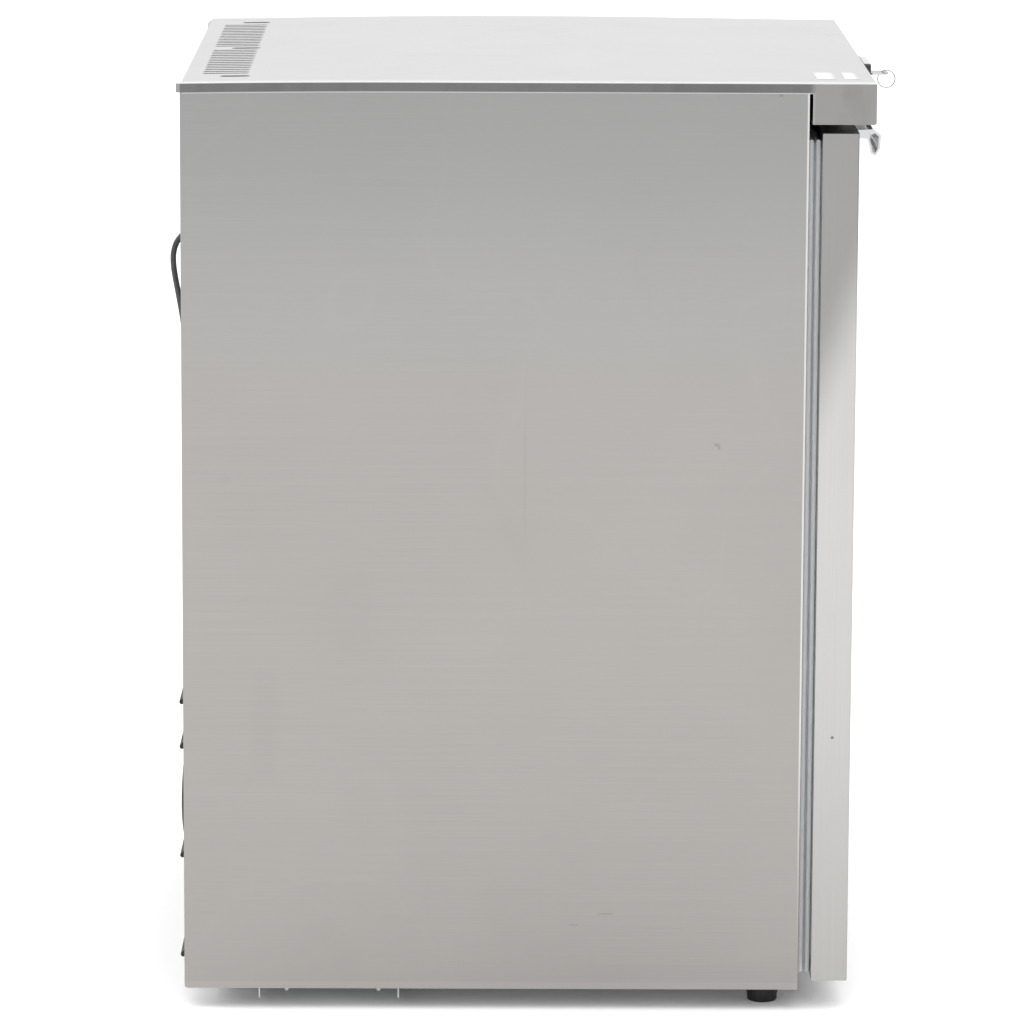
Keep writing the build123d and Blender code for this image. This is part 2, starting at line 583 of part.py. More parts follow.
with BuildPart() as lock_housing:
    rod("y", (0, LOCK_Z), (TOP_FRONT - 2.5, TOP_FRONT), 12.0)
    fillet(lock_housing.edges().filter_by(GeomType.CIRCLE).sort_by(Axis.Y)[:1], radius=1.5)
    rod("y", (0, LOCK_Z), (TOP_FRONT, LOCK_TIP - 1), 9.4)
    rod("y", (0, LOCK_Z), (TOP_FRONT - 5, LOCK_TIP + 2), 6.0 + RUNNING_FIT, Mode.SUBTRACT)
save(lock_housing, "lock_housing")

BLADE_T = 2.0
with BuildPart() as lock_plug:
    rod("y", (0, LOCK_Z), (TOP_FRONT - 3, LOCK_TIP), 6.0)
    block((-3.5, 3.5), (LOCK_TIP, LOCK_TIP + 3), (LOCK_Z - 3.5, LOCK_Z + 3.5))
    block((-4.1, 4.1), (TOP_FRONT - 5, -268),
          (LOCK_Z - BLADE_T / 2 - 0.1, LOCK_Z + BLADE_T / 2 + 0.1), Mode.SUBTRACT)
save(lock_plug, "lock_plug")

CAM_REACH = 32.0
with BuildPart() as lock_cam:
    block((-7, CAM_REACH), (LOCK_TIP, LOCK_TIP + 3), (LOCK_Z - 6, LOCK_Z + 6))
    fillet(lock_cam.edges().filter_by(Axis.Y), radius=3.5)
    block((-3.5, 3.5), (LOCK_TIP - 1, LOCK_TIP + 4), (LOCK_Z - 3.5, LOCK_Z + 3.5), Mode.SUBTRACT)
save(lock_cam, "lock_cam")

RIM_Y = -318.5              # the ring hangs on the rim between the bow's slot and its tip
with BuildPart() as key:
    with BuildSketch(Plane.XY.offset(LOCK_Z - BLADE_T / 2)):
        with Locations((0, -309)):
            RectangleRounded(24, 21.4, 7)
        with Locations((0, -287)):
            Rectangle(8, 34)
        with Locations((0, RIM_Y + 5.7)):
            SlotOverall(9, 6, rotation=90, mode=Mode.SUBTRACT)
    extrude(amount=BLADE_T)
save(key, "key")

RING_R = 7.9
WIRE_R = 0.6
RING_DROP = 5.6
with BuildPart() as key_ring:
    with BuildSketch(Plane(origin=(0, RIM_Y, LOCK_Z - RING_DROP + RING_R), z_dir=(0, 1, 0))):
        Circle(WIRE_R)
    revolve(axis=Axis((0, RIM_Y, LOCK_Z - RING_DROP), (1, 0, 0)))
save(key_ring, "key_ring")

# ---------------------------------------------------------------- hinges
with BuildPart() as upper_hinge:
    block((245, 297), (-284, -240), (NOSE_BOTTOM - 3, NOSE_BOTTOM))
    fillet(upper_hinge.edges().filter_by(Axis.Z), radius=5)
    rod("z", (PIVOT_X, PIVOT_Y), (DOOR_TOP - 16, NOSE_BOTTOM - 2), PIN_R)
save(upper_hinge, "upper_hinge")

with BuildPart() as lower_hinge:
    block((262, 297), (-274, -224), (PANEL_BOTTOM - 3, PANEL_BOTTOM))
    block((276, 297), (-226, -165), (PANEL_BOTTOM - 3, PANEL_BOTTOM))
    rod("z", (PIVOT_X, PIVOT_Y), (PANEL_BOTTOM - 1, DOOR_BOTTOM - 0.3), 7.0)
    rod("z", (PIVOT_X, PIVOT_Y), (PANEL_BOTTOM - 1, DOOR_BOTTOM + 15), PIN_R)
    for y in (-215, -180):
        rod("z", (286, y), (PANEL_BOTTOM - 4, PANEL_BOTTOM + 1), 2.5, Mode.SUBTRACT)
save(lower_hinge, "lower_hinge")

with BuildPart() as hinge_bushes:
    for low, high in ((DOOR_BOTTOM, DOOR_BOTTOM + 17), (DOOR_TOP - 18, DOOR_TOP)):
        rod("z", (PIVOT_X, PIVOT_Y), (low, high), 6.5)
        rod("z", (PIVOT_X, PIVOT_Y), (low - 1, high + 1), PIN_R + RUNNING_FIT, Mode.SUBTRACT)
save(hinge_bushes, "hinge_bushes")

# ---------------------------------------------------------------- door
LIP = 15.0
FIELD_X = 250.0
FIELD_Z = (75.0, 750.0)
FIELD_REAR = -236.0
KEEPER_X = (-11.0, 28.0)
KEEPER_Y = (-267.0, -254.0)
KEEPER_Z = 781.0
SCREW_Z = 789.4             # the two screws that hold the handle

with BuildPart() as door_skin:
    block((-DOOR_X, DOOR_X), (DOOR_FRONT, DOOR_REAR), (DOOR_BOTTOM, DOOR_TOP))
    fillet(outer_edges(door_skin, Axis.Z, Axis.Y, DOOR_FRONT), radius=2.0)
    block((-DOOR_X + SHEET, DOOR_X - SHEET), (DOOR_FRONT + SHEET, DOOR_REAR - SHEET),
          (DOOR_BOTTOM + SHEET, DOOR_TOP - SHEET), Mode.SUBTRACT)
    block((-DOOR_X + LIP, DOOR_X - LIP), (DOOR_REAR - 2 * SHEET, DOOR_REAR + 1),
          (DOOR_BOTTOM + LIP, DOOR_TOP - LIP), Mode.SUBTRACT)
    for z in (DOOR_BOTTOM, DOOR_TOP):
        rod("z", (PIVOT_X, PIVOT_Y), (z - 2, z + 2), 6.5, Mode.SUBTRACT)
    block((KEEPER_X[0] + 1, KEEPER_X[1] - 1), (KEEPER_Y[0] + 1, KEEPER_Y[1] - 1),
          (DOOR_TOP - 2, DOOR_TOP + 1), Mode.SUBTRACT)
    for x in (-235, -125):
        rod("y", (x, SCREW_Z), (DOOR_FRONT - 1, DOOR_FRONT + 2), 2.0, Mode.SUBTRACT)
save(door_skin, "door_skin")

with BuildPart() as door_foam:
    block((-DOOR_X + SHEET, DOOR_X - SHEET), (DOOR_FRONT + SHEET, DOOR_REAR - LINER),
          (DOOR_BOTTOM + SHEET, DOOR_TOP - SHEET))
    block((-FIELD_X + LINER, FIELD_X - LINER), (DOOR_REAR - 2 * LINER, FIELD_REAR - LINER),
          (FIELD_Z[0] + LINER, FIELD_Z[1] - LINER))
    for low, high in ((DOOR_BOTTOM, DOOR_BOTTOM + 17), (DOOR_TOP - 18, DOOR_TOP)):
        rod("z", (PIVOT_X, PIVOT_Y), (low - 1, high + 1), 6.5, Mode.SUBTRACT)
    block(KEEPER_X, KEEPER_Y, (KEEPER_Z, DOOR_TOP), Mode.SUBTRACT)
    for x in (-235, -125):
        rod("y", (x, SCREW_Z), (DOOR_FRONT, DOOR_FRONT + 8), 4.6, Mode.SUBTRACT)
save(door_foam, "door_foam")

with BuildPart() as door_liner:
    block((-DOOR_X + LIP, DOOR_X - LIP), (DOOR_REAR - LINER, DOOR_REAR), (DOOR_BOTTOM + LIP, DOOR_TOP - LIP))
    block((-FIELD_X, FIELD_X), (DOOR_REAR - LINER, FIELD_REAR), FIELD_Z)
    fillet(outer_edges(door_liner, Axis.X, Axis.Y, FIELD_REAR), radius=3.0)
    block((-FIELD_X + LINER, FIELD_X - LINER), (DOOR_REAR - 2 * LINER, FIELD_REAR - LINER),
          (FIELD_Z[0] + LINER, FIELD_Z[1] - LINER), Mode.SUBTRACT)
save(door_liner, "door_liner")

GASKET_X = 281.0
GASKET_Z = (31.0, 787.5)
GASKET_W = 14.0
with BuildPart() as door_gasket:
    block((-GASKET_X, GASKET_X), (DOOR_REAR, PANEL_FRONT - 0.3), GASKET_Z)
    block((-GASKET_X + GASKET_W, GASKET_X - GASKET_W), (DOOR_REAR - 1, PANEL_FRONT + 1),
          (GASKET_Z[0] + GASKET_W, GASKET_Z[1] - GASKET_W), Mode.SUBTRACT)
save(door_gasket, "door_gasket")

with BuildPart() as lock_keeper:
    block(KEEPER_X, KEEPER_Y, (KEEPER_Z, DOOR_TOP - SHEET))
    block((KEEPER_X[0] + 1, KEEPER_X[1] - 1), (KEEPER_Y[0] + 1, KEEPER_Y[1] - 1),
          (KEEPER_Z + 1, DOOR_TOP), Mode.SUBTRACT)
save(lock_keeper, "lock_keeper")

# chrome hook-shaped pull, one profile along the door's top left edge
HANDLE_X = (-260.0, -100.0)
with BuildPart() as door_handle:
    with BuildSketch(Plane.YZ.offset(HANDLE_X[0])) as hook:
        with BuildLine():
            Polyline((DOOR_FRONT, 794.0), (-289.0, 794.8), (-295.9, 789.5), (-295.2, 777.5), (-291.2, 771.0),
                     (-287.0, 773.0), (-284.0, 786.4), (DOOR_FRONT, 786.6), close=True)
        make_face()
        fillet(hook.vertices().sort_by(Axis.Y)[-2:], radius=0.5)
        fillet([v for v in hook.vertices() if v.Y < DOOR_FRONT - 12.8 and v.Z > 788], radius=3.5)
        fillet([v for v in hook.vertices() if v.Z < 780], radius=1.6)
    extrude(amount=HANDLE_X[1] - HANDLE_X[0])
    # the hook is drawn hollow, open at both ends
    with BuildSketch(Plane.YZ.offset(HANDLE_X[0])) as hollow:
        with BuildLine():
            Polyline((-286.0, 791.6), (-289.2, 792.3), (-293.8, 788.2), (-293.2, 778.2), (-290.9, 773.4),
                     (-288.7, 774.4), (-285.8, 786.0), close=True)
        make_face()
        fillet([v for v in hollow.vertices() if v.Z > 788], radius=1.2)
        fillet([v for v in hollow.vertices() if v.Z < 775], radius=0.6)
    extrude(amount=HANDLE_X[1] - HANDLE_X[0], mode=Mode.SUBTRACT)
    for x in (-235, -125):
        rod("y", (x, SCREW_Z), (DOOR_FRONT - 7, DOOR_FRONT + 1), 2.0, Mode.SUBTRACT)
save(door_handle, "door_handle")

with BuildPart() as handle_screws:
    for x in (-235, -125):
        rod("y", (x, SCREW_Z), (DOOR_FRONT - 7, DOOR_FRONT + SHEET), 2.0)
        rod("y", (x, SCREW_Z), (DOOR_FRONT + SHEET, DOOR_FRONT + 4), 4.0)
save(handle_screws, "handle_screws")

# ---------------------------------------------------------------- mains cord, coiled on the floor
GLAND_END = COVER_REAR + 11.5
with BuildPart() as cord_gland:
    with BuildSketch(Plane.XZ.offset(-(COVER_REAR - 12))):
        with Locations((GLAND_X, GLAND_Z)):
            Circle(7.0)
    extrude(amount=-(12 - SHEET))
    rod("y", (GLAND_X, GLAND_Z), (COVER_REAR - SHEET, COVER_REAR), 5.0)
    rod("y", (GLAND_X, GLAND_Z), (COVER_REAR, COVER_REAR + 3), 8.0)
    with BuildSketch(Plane.XZ.offset(-(COVER_REAR + 3))):
        with Locations((GLAND_X, GLAND_Z)):
            Circle(6.0)
    with BuildSketch(Plane.XZ.offset(-GLAND_END)):
        with Locations((GLAND_X, GLAND_Z)):
            Circle(4.4)
    loft()
save(cord_gland, "cord_gland")

CORD_ROUTE = [
    (262.0, 326.0, 637.5),
    (262.0, 333.6, 637.5),
    (262.2, 345.4, 634.3),
    (262.5, 354.8, 625.9),
    (262.9, 359.4, 614.0),
    (263.2, 359.6, 601.0),
    (263.5, 357.5, 586.5),
    (263.8, 354.0, 568.0),
    (264.2, 349.6, 542.0),
    (264.6, 346.4, 505.0),
    (265.2, 344.0, 455.0),
    (266.5, 342.4, 400.0),
    (268.0, 341.2, 342.0),
    (269.4, 341.4, 284.0),
    (270.9, 342.8, 226.0),
    (272.5, 345.4, 170.0),
    (274.2, 349.0, 118.0),
    (276.7, 352.0, 78.0),
    (281.2, 352.8, 46.0),
    (289.8, 351.5, 21.5),
    (303.5, 348.5, 7.5),
    (321.0, 342.5, 3.2),
    (339.0, 331.5, 3.0),
    (354.5, 315.5, 3.0),
    (366.5, 295.0, 3.0),
    (376.0, 271.0, 3.0),
    (383.0, 247.0, 3.0),
    (387.5, 222.0, 3.0),
]
TAIL_ROUTE = [
    (388.0, 208.0, 9.0),
    (387.5, 187.0, 6.2),
    (385.5, 167.0, 5.6),
    (382.5, 148.0, 6.5),
]


def bend_radii(points, share=0.45):
    """The radius of each corner's arc, as large as its two runs allow."""
    radii = []
    for before, corner, after in zip(points, points[1:], points[2:]):
        first = Vector(*corner) - Vector(*before)
        second = Vector(*after) - Vector(*corner)
        turn = math.radians(first.get_angle(second))
        radii.append(share * min(first.length, second.length) / math.tan(turn / 2))
    return radii


with BuildPart() as power_cord:
    for stretch, route in (("cabinet to coil", CORD_ROUTE), ("coil to plug", TAIL_ROUTE)):
        radii = bend_radii(route)
        with BuildLine() as cord_line:
            FilletPolyline(*route, radius=radii)
        with BuildSketch(Plane(origin=cord_line.line @ 0, z_dir=cord_line.line % 0)):
            Circle(CORD_R)
        sweep()
        length = sum(edge.length for edge in cord_line.edges())
        print(stretch, "length", round(length, 1), "radii", [round(r) for r in radii],
              "section times length", round(math.pi * CORD_R ** 2 * length))
print("cord volume", round(power_cord.part.volume))
save(power_cord, "power_cord")

COIL_R = 33.0
COIL_TURNS = 5
with BuildPart() as cord_coil:
    with BuildSketch(Plane.XZ.offset(-COIL_CENTRE[1])):
        with Locations((COIL_CENTRE[0] + COIL_R, 8.9)):
            RectangleRounded(12.0, 17.4, 2.8)
    revolve(axis=Axis((COIL_CENTRE[0], COIL_CENTRE[1], 0), (0, 0, 1)))
save(cord_coil, "cord_coil")
print("coil length", round(2 * math.pi * COIL_R * COIL_TURNS))

PLUG_Y = TAIL_ROUTE[-1][1]
PLUG_X = TAIL_ROUTE[-1][0]
with BuildPart() as power_plug:
    with BuildSketch(Plane.XZ.offset(-PLUG_Y)):
        with Locations((PLUG_X, 6.5)):
            Circle(4.4)
    with BuildSketch(Plane.XZ.offset(-(PLUG_Y - 20))):
        with Locations((PLUG_X, 10.5)):
            RectangleRounded(18, 16, 4)
    loft()
    with BuildSketch(Plane.XZ.offset(-(PLUG_Y - 20))):
        with Locations((PLUG_X, 12.3)):
            RectangleRounded(27, 23.6, 5)
    extrude(amount=22)
    fillet(power_plug.faces().sort_by(Axis.Y)[0].edges(), radius=1.5)
save(power_plug, "power_plug")

with BuildPart() as plug_pins:
    face = PLUG_Y - 42
    for dx in (-6.35, 6.35):
        block((PLUG_X + dx - 0.8, PLUG_X + dx + 0.8), (face - 16, face), (6.0, 12.3))
    rod("y", (PLUG_X, 19.0), (face - 18, face), 2.4)
save(plug_pins, "plug_pins")
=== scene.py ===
import math

import bmesh
import bpy
from mathutils import Matrix, Vector, noise


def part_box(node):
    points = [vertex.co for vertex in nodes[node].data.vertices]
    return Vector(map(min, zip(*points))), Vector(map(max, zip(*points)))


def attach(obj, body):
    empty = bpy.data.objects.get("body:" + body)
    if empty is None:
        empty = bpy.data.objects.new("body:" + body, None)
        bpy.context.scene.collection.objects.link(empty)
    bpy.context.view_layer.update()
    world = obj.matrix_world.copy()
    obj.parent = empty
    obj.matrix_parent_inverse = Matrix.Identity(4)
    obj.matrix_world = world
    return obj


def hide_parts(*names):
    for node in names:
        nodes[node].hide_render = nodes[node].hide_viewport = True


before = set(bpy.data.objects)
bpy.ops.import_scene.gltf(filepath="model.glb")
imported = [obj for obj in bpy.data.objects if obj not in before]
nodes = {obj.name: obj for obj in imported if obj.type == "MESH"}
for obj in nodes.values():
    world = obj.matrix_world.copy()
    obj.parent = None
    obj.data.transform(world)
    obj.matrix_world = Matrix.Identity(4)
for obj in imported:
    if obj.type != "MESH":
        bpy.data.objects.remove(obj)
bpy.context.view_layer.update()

MM = 0.001
WELD_REACH = 0.00002          # vertices closer than this are one, in metres
# main planes of the cabinet, in millimetres
HALF_WIDTH = 300
TOP_FRONT, TOP_REAR = -289, 321
PANEL_FRONT, PANEL_REAR = -229, 322
PANEL_BOTTOM, PANEL_TOP = 20, 829

scene = bpy.context.scene


def mm(*values):
    """Millimetres to the frame's metres."""
    return Vector([v * MM for v in values])


# ---------------------------------------------------------------- camera, at the photograph's angle
CAMERA_PLACE = mm(-5253.6, 62.9, 1351.9)
CAMERA_YAW = -0.0067
CAMERA_PITCH = 0.17882
CAMERA_ROLL = 0.0048
CAMERA_LENS = 199.15


def make_camera():
    """A camera turned by its yaw, pitch and roll, in radians."""
    data = bpy.data.cameras.new("camera")
    camera = bpy.data.objects.new("camera", data)
    scene.collection.objects.link(camera)
    ahead = Vector((math.cos(CAMERA_PITCH) * math.cos(CAMERA_YAW),
                    math.cos(CAMERA_PITCH) * math.sin(CAMERA_YAW), -math.sin(CAMERA_PITCH)))
    right = ahead.cross(Vector((0, 0, 1))).normalized()
    up = right.cross(ahead)
    right_rolled = right * math.cos(CAMERA_ROLL) + up * math.sin(CAMERA_ROLL)
    up_rolled = up * math.cos(CAMERA_ROLL) - right * math.sin(CAMERA_ROLL)
    turn = Matrix((right_rolled, up_rolled, -ahead)).transposed().to_4x4()
    camera.matrix_world = Matrix.Translation(CAMERA_PLACE) @ turn
    data.lens = CAMERA_LENS
    data.sensor_width = 36.0
    data.clip_end = 100.0
    scene.camera = camera


make_camera()


# ---------------------------------------------------------------- material building blocks
class Graph:
    """A node tree under construction, fed by one kind of texture coordinates."""

    def __init__(self, tree, coordinates):
        self.tree = tree
        self.place = self.node("ShaderNodeTexCoord").outputs[coordinates]

    def node(self, kind, **settings):
        made = self.tree.nodes.new(kind)
        for name, value in settings.items():
            setattr(made, name, value)
        return made

    def link(self, source, target):
        self.tree.links.new(source, target)

    def span(self, source, low, high, to_low=0.0, to_high=1.0, smooth=False):
        """Map a value from one range to another, clamped."""
        mapped = self.node("ShaderNodeMapRange")
        if smooth:
            mapped.interpolation_type = "SMOOTHSTEP"
        ends = {"From Min": low, "From Max": high, "To Min": to_low, "To Max": to_high}
        for name, value in ends.items():
            mapped.inputs[name].default_value = value
        self.link(source, mapped.inputs["Value"])
        return mapped.outputs["Result"]

    def axis(self, letter):
        """One of the coordinates; in object space they are in metres."""
        split = self.node("ShaderNodeSeparateXYZ")
        self.link(self.place, split.inputs["Vector"])
        return split.outputs[letter]

    def math(self, operation, first, second):
        made = self.node("ShaderNodeMath", operation=operation)
        for index, value in enumerate((first, second)):
            if isinstance(value, (int, float)):
                made.inputs[index].default_value = value
            else:
                self.link(value, made.inputs[index])
        return made.outputs["Value"]


class Shader(Graph):
    """A material under construction: one Principled shader fed by procedural textures."""

    def __init__(self, name, metallic=0.0, **sockets):
        self.material = bpy.data.materials.new(name)
        self.material.use_nodes = True
        super().__init__(self.material.node_tree, "Object")
        self.bsdf = self.tree.nodes["Principled BSDF"]
        self.bsdf.inputs["Metallic"].default_value = metallic
        for socket, value in sockets.items():
            self.bsdf.inputs[socket.replace("_", " ")].default_value = value

    def noise(self, scale, detail=3.0, rough=0.55, stretch=(1, 1, 1), distortion=0.0):
        """Noise in object space; stretch is the number of features per unit along each axis."""
        mapping = self.node("ShaderNodeMapping")
        mapping.inputs["Scale"].default_value = stretch
        self.link(self.place, mapping.inputs["Vector"])
        texture = self.node("ShaderNodeTexNoise")
        texture.inputs["Scale"].default_value = scale
        texture.inputs["Detail"].default_value = detail
        texture.inputs["Roughness"].default_value = rough
        texture.inputs["Distortion"].default_value = distortion
        self.link(mapping.outputs["Vector"], texture.inputs["Vector"])
        return texture.outputs["Fac"]

    def mix(self, factor, first, second, blend="MIX"):
        """Mix two colours, each a tuple or a socket, by a socket."""
        made = self.node("ShaderNodeMix", data_type="RGBA", blend_type=blend)
        self.link(factor, made.inputs["Factor"])
        for name, value in (("A", first), ("B", second)):
            socket = [s for s in made.inputs if s.name == name and s.type == "RGBA"][0]
            if isinstance(value, tuple):
                socket.default_value = (*value, 1.0)
            else:
                self.link(value, socket)
        return [s for s in made.outputs if s.type == "RGBA"][0]

    def spot(self, y, z, half_y, half_z, soft=0.6):
        """A soft-edged oval at a place on a side face, in millimetres; 1 inside and 0 outside."""
        parts = []
        for axis, middle, half in (("Y", y, half_y), ("Z", z, half_z)):
            away = self.math("SUBTRACT", self.axis(axis), middle * MM)
            away = self.math("DIVIDE", away, half * MM)
            parts.append(self.math("MULTIPLY", away, away))
        return self.span(self.math("ADD", *parts), 1.0 - soft, 1.0, 1.0, 0.0)

    def colour(self, source):
        self.link(source, self.bsdf.inputs["Base Color"])

    def roughness(self, source):
        self.link(source, self.bsdf.inputs["Roughness"])

    def bump(self, height, strength, distance):
        """Raise the surface by a height texture; the distance is in metres."""
        made = self.node("ShaderNodeBump")
        made.inputs["Strength"].default_value = strength
        made.inputs["Distance"].default_value = distance
        self.link(height, made.inputs["Height"])
        self.link(made.outputs["Normal"], self.bsdf.inputs["Normal"])


# features per metre of the brushed grain and of its wider streaks, along it and across it
GRAIN_ALONG, GRAIN_ACROSS = 5.0, 900.0
STREAK_ALONG, STREAK_ACROSS = 1.5, 160.0
TIDE_LEVEL, TIDE_WIDTH = 0.56, 0.006      # where in the blotches a dried edge shows, and how wide


def brushed_steel(name, tint, along, rough=(0.30, 0.40), contrast=0.035, overlay=None):
    """Stainless sheet with grain along one axis, faint blotches, tide marks and smudges, and
    whatever painted shade, highlights and marks its overlay adds.
    """
    shader = Shader(name, metallic=1.0)
    fine = tuple(GRAIN_ALONG if axis == along else GRAIN_ACROSS for axis in "XYZ")
    coarse = tuple(STREAK_ALONG if axis == along else STREAK_ACROSS for axis in "XYZ")
    grain = shader.noise(scale=1.0, detail=2.0, rough=0.6, stretch=fine)
    streak = shader.noise(scale=1.0, detail=2.0, rough=0.5, stretch=coarse)
    blotch = shader.noise(scale=2.6, detail=2.0, rough=0.5)
    smudge = shader.noise(scale=9.0, detail=4.0, rough=0.6, distortion=0.6)
    dark = tuple(c * (1 - contrast) for c in tint)
    light = tuple(min(1.0, c * (1 + contrast)) for c in tint)
    colour = shader.mix(shader.span(grain, 0.3, 0.7), dark, light)
    colour = shader.mix(shader.span(streak, 0.3, 0.7, 0.0, 0.4), colour, dark)
    colour = shader.mix(shader.span(blotch, 0.35, 0.7, 0.0, 0.6), colour, light)
    # the faint outline left where wiped film has dried
    tide = shader.math("ABSOLUTE", shader.math("SUBTRACT", blotch, TIDE_LEVEL), 0.0)
    colour = shader.mix(shader.span(tide, 0.0, TIDE_WIDTH, 0.5, 0.0), colour, light)
    colour = shader.mix(shader.span(smudge, 0.6, 0.78, 0.0, 0.5), colour, dark)
    if overlay is not None:
        colour = overlay(shader, colour)
    shader.colour(colour)
    half_grain = shader.math("MULTIPLY", grain, 0.5)
    wander = shader.math("ADD", half_grain, shader.math("MULTIPLY", smudge, 0.5))
    shader.roughness(shader.span(wander, 0.3, 0.7, *rough))
    shader.bump(grain, strength=0.05, distance=0.0001)
    return shader.material


def plain_metal(name, tint, rough=(0.25, 0.4), scale=60.0, contrast=0.12, strength=0.15):
    """Plated or painted sheet with an uneven finish and small pits."""
    shader = Shader(name, metallic=1.0)
    cloud = shader.noise(scale, detail=4.0, rough=0.6)
    pits = shader.noise(scale * 14, detail=2.0, rough=0.5)
    dark = tuple(c * (1 - contrast) for c in tint)
    shader.colour(shader.mix(shader.span(cloud, 0.35, 0.65), dark, tint))
    shader.roughness(shader.span(cloud, 0.3, 0.7, *rough))
    shader.bump(pits, strength, distance=0.0002)
    return shader.material


SPANGLE_SCALE = 120.0         # zinc crystals per metre
SPANGLE_DARK, SPANGLE_LIGHT = (0.46, 0.47, 0.48), (0.56, 0.57, 0.58)
SPANGLE_CLOUD = (0.42, 0.43, 0.43)


def galvanised(name):
    """Zinc-coated sheet with its crystal spangle."""
    shader = Shader(name, metallic=1.0)
    cells = shader.node("ShaderNodeTexVoronoi", feature="F1")
    cells.inputs["Scale"].default_value = SPANGLE_SCALE
    shader.link(shader.place, cells.inputs["Vector"])
    tone = shader.node("ShaderNodeSeparateColor")
    shader.link(cells.outputs["Color"], tone.inputs["Color"])
    cloud = shader.noise(scale=9.0, detail=3.0)
    base = shader.mix(shader.span(tone.outputs["Red"], 0, 1), SPANGLE_DARK, SPANGLE_LIGHT)
    shader.colour(shader.mix(shader.span(cloud, 0.4, 0.7, 0, 0.4), base, SPANGLE_CLOUD))
    shader.roughness(shader.span(tone.outputs["Green"], 0, 1, 0.36, 0.5))
    shader.bump(tone.outputs["Red"], strength=0.08, distance=0.0003)
    return shader.material


def moulded(name, tint, rough=(0.4, 0.55), grain=900.0, strength=0.12, lift=0.10, **sockets):
    """Plastic or rubber with a fine moulded texture, and wear that lifts its colour a little."""
    shader = Shader(name, **sockets)
    texture = shader.noise(grain, detail=2.0, rough=0.5)
    wear = shader.noise(scale=26.0, detail=4.0, rough=0.6)
    worn = tuple(min(1.0, c + lift * (1 - c) * 0.35) for c in tint)
    shader.colour(shader.mix(shader.span(wear, 0.3, 0.75, smooth=True), tint, worn))
    shader.roughness(shader.span(wear, 0.3, 0.7, *rough))
    shader.bump(texture, strength, distance=0.0002)
    return shader.material


def tinted(shader, colour, factor, tint):
    """Multiply a colour by a tint where a factor says so."""
    return shader.mix(factor, colour, tint, "MULTIPLY")


# painted shade over the height of a side panel, and a warmer tint lower down: heights, how strong
# below and above them, tint
SIDE_SHADES_AND_TINT = [
    (0.45, 0.76, 1.0, 0.0, (1.0, 0.965, 0.94)),         # warmer lower down
    (0.60, 0.84, 0.0, 1.0, (0.84, 0.855, 0.855)),       # painted shade under the worktop
    (0.05, 0.42, 1.0, 0.0, (0.94, 0.94, 0.94)),         # painted shade near the floor
]
FOLD_HIGHLIGHT_Y = (-0.2286, -0.2280)   # the painted highlight along the front fold
FOLD_HIGHLIGHT_Z = (0.04, 0.30)         # the heights over which it fades out downwards
FOOT_HIGHLIGHT_Z = (0.0248, 0.0258)     # the top of the painted highlight along the bottom fold
# small dents and scratches: middle and half size in Y and Z, in millimetres
SIDE_MARKS = [
    (-151.5, 517.5, 2.6, 1.8), (-154, 515, 1.3, 2.6), (-55.9, 88.9, 9, 0.8),
    (-27.1, 78.6, 6, 0.7), (-204.9, 828.6, 2.2, 1.6),
]
# wide faint stains, each with its tint
SIDE_STAINS = [
    (18.3, 499, 1.8, 86, 0.955), (284.9, 484.9, 7, 7, 0.97), (250, 262, 16, 66, 0.975),
]


def side_stains_and_shade(shader, colour):
    """The side panels: painted shade and a warmer tint over the height, painted highlights along
    the front and bottom folds, dents, scratches and stains.
    """
    height = shader.axis("Z")
    # painted shade, and a warmer tint lower down, over the height
    for low, high, below, above, tint in SIDE_SHADES_AND_TINT:
        factor = shader.span(height, low, high, below, above, smooth=True)
        colour = tinted(shader, colour, factor, tint)
    # painted highlight along the front fold, fading out downwards
    fold_highlight = shader.span(shader.axis("Y"), *FOLD_HIGHLIGHT_Y, 1.0, 0.0)
    fold_highlight = shader.math("MULTIPLY", fold_highlight, shader.span(height, *FOLD_HIGHLIGHT_Z, 0.0, 1.0, smooth=True))
    colour = shader.mix(fold_highlight, colour, (0.56, 0.56, 0.55))
    # painted highlight along the bottom fold
    foot = shader.span(height, *FOOT_HIGHLIGHT_Z, 0.12, 0.0)
    colour = shader.mix(foot, colour, (0.48, 0.475, 0.465))
    for y, z, half_y, half_z in SIDE_MARKS:
        colour = tinted(shader, colour, shader.spot(y, z, half_y, half_z), (0.80, 0.80, 0.80))
    for y, z, half_y, half_z, tint in SIDE_STAINS:
        stain = shader.spot(y, z, half_y, half_z, soft=0.95)
        colour = tinted(shader, colour, stain, (tint, tint, tint))
    return colour


# the worktop's painted shade and highlights, in metres: its droop behind a line (see top_lift), and
# the bands of its folded edges
DROOP_FROM, DROOP_RATE = 0.11, 0.0407
EDGE_Z = (0.8384, 0.8390)     # below this the face turns into the folded edge
HEM_HIGHLIGHT_Z = (0.8306, 0.8311)      # the painted highlight on the hem lies below this
LUG_Y = (0.3222, 0.3230)      # the two lugs at the rear corners lie behind this
NOSE_Y = (-0.236, -0.230)     # the deep front edge lies before this
RIM_X = (-0.294, -0.288)      # the rim of the left edge catches the light
RIM_Z = (0.8389, 0.8391)


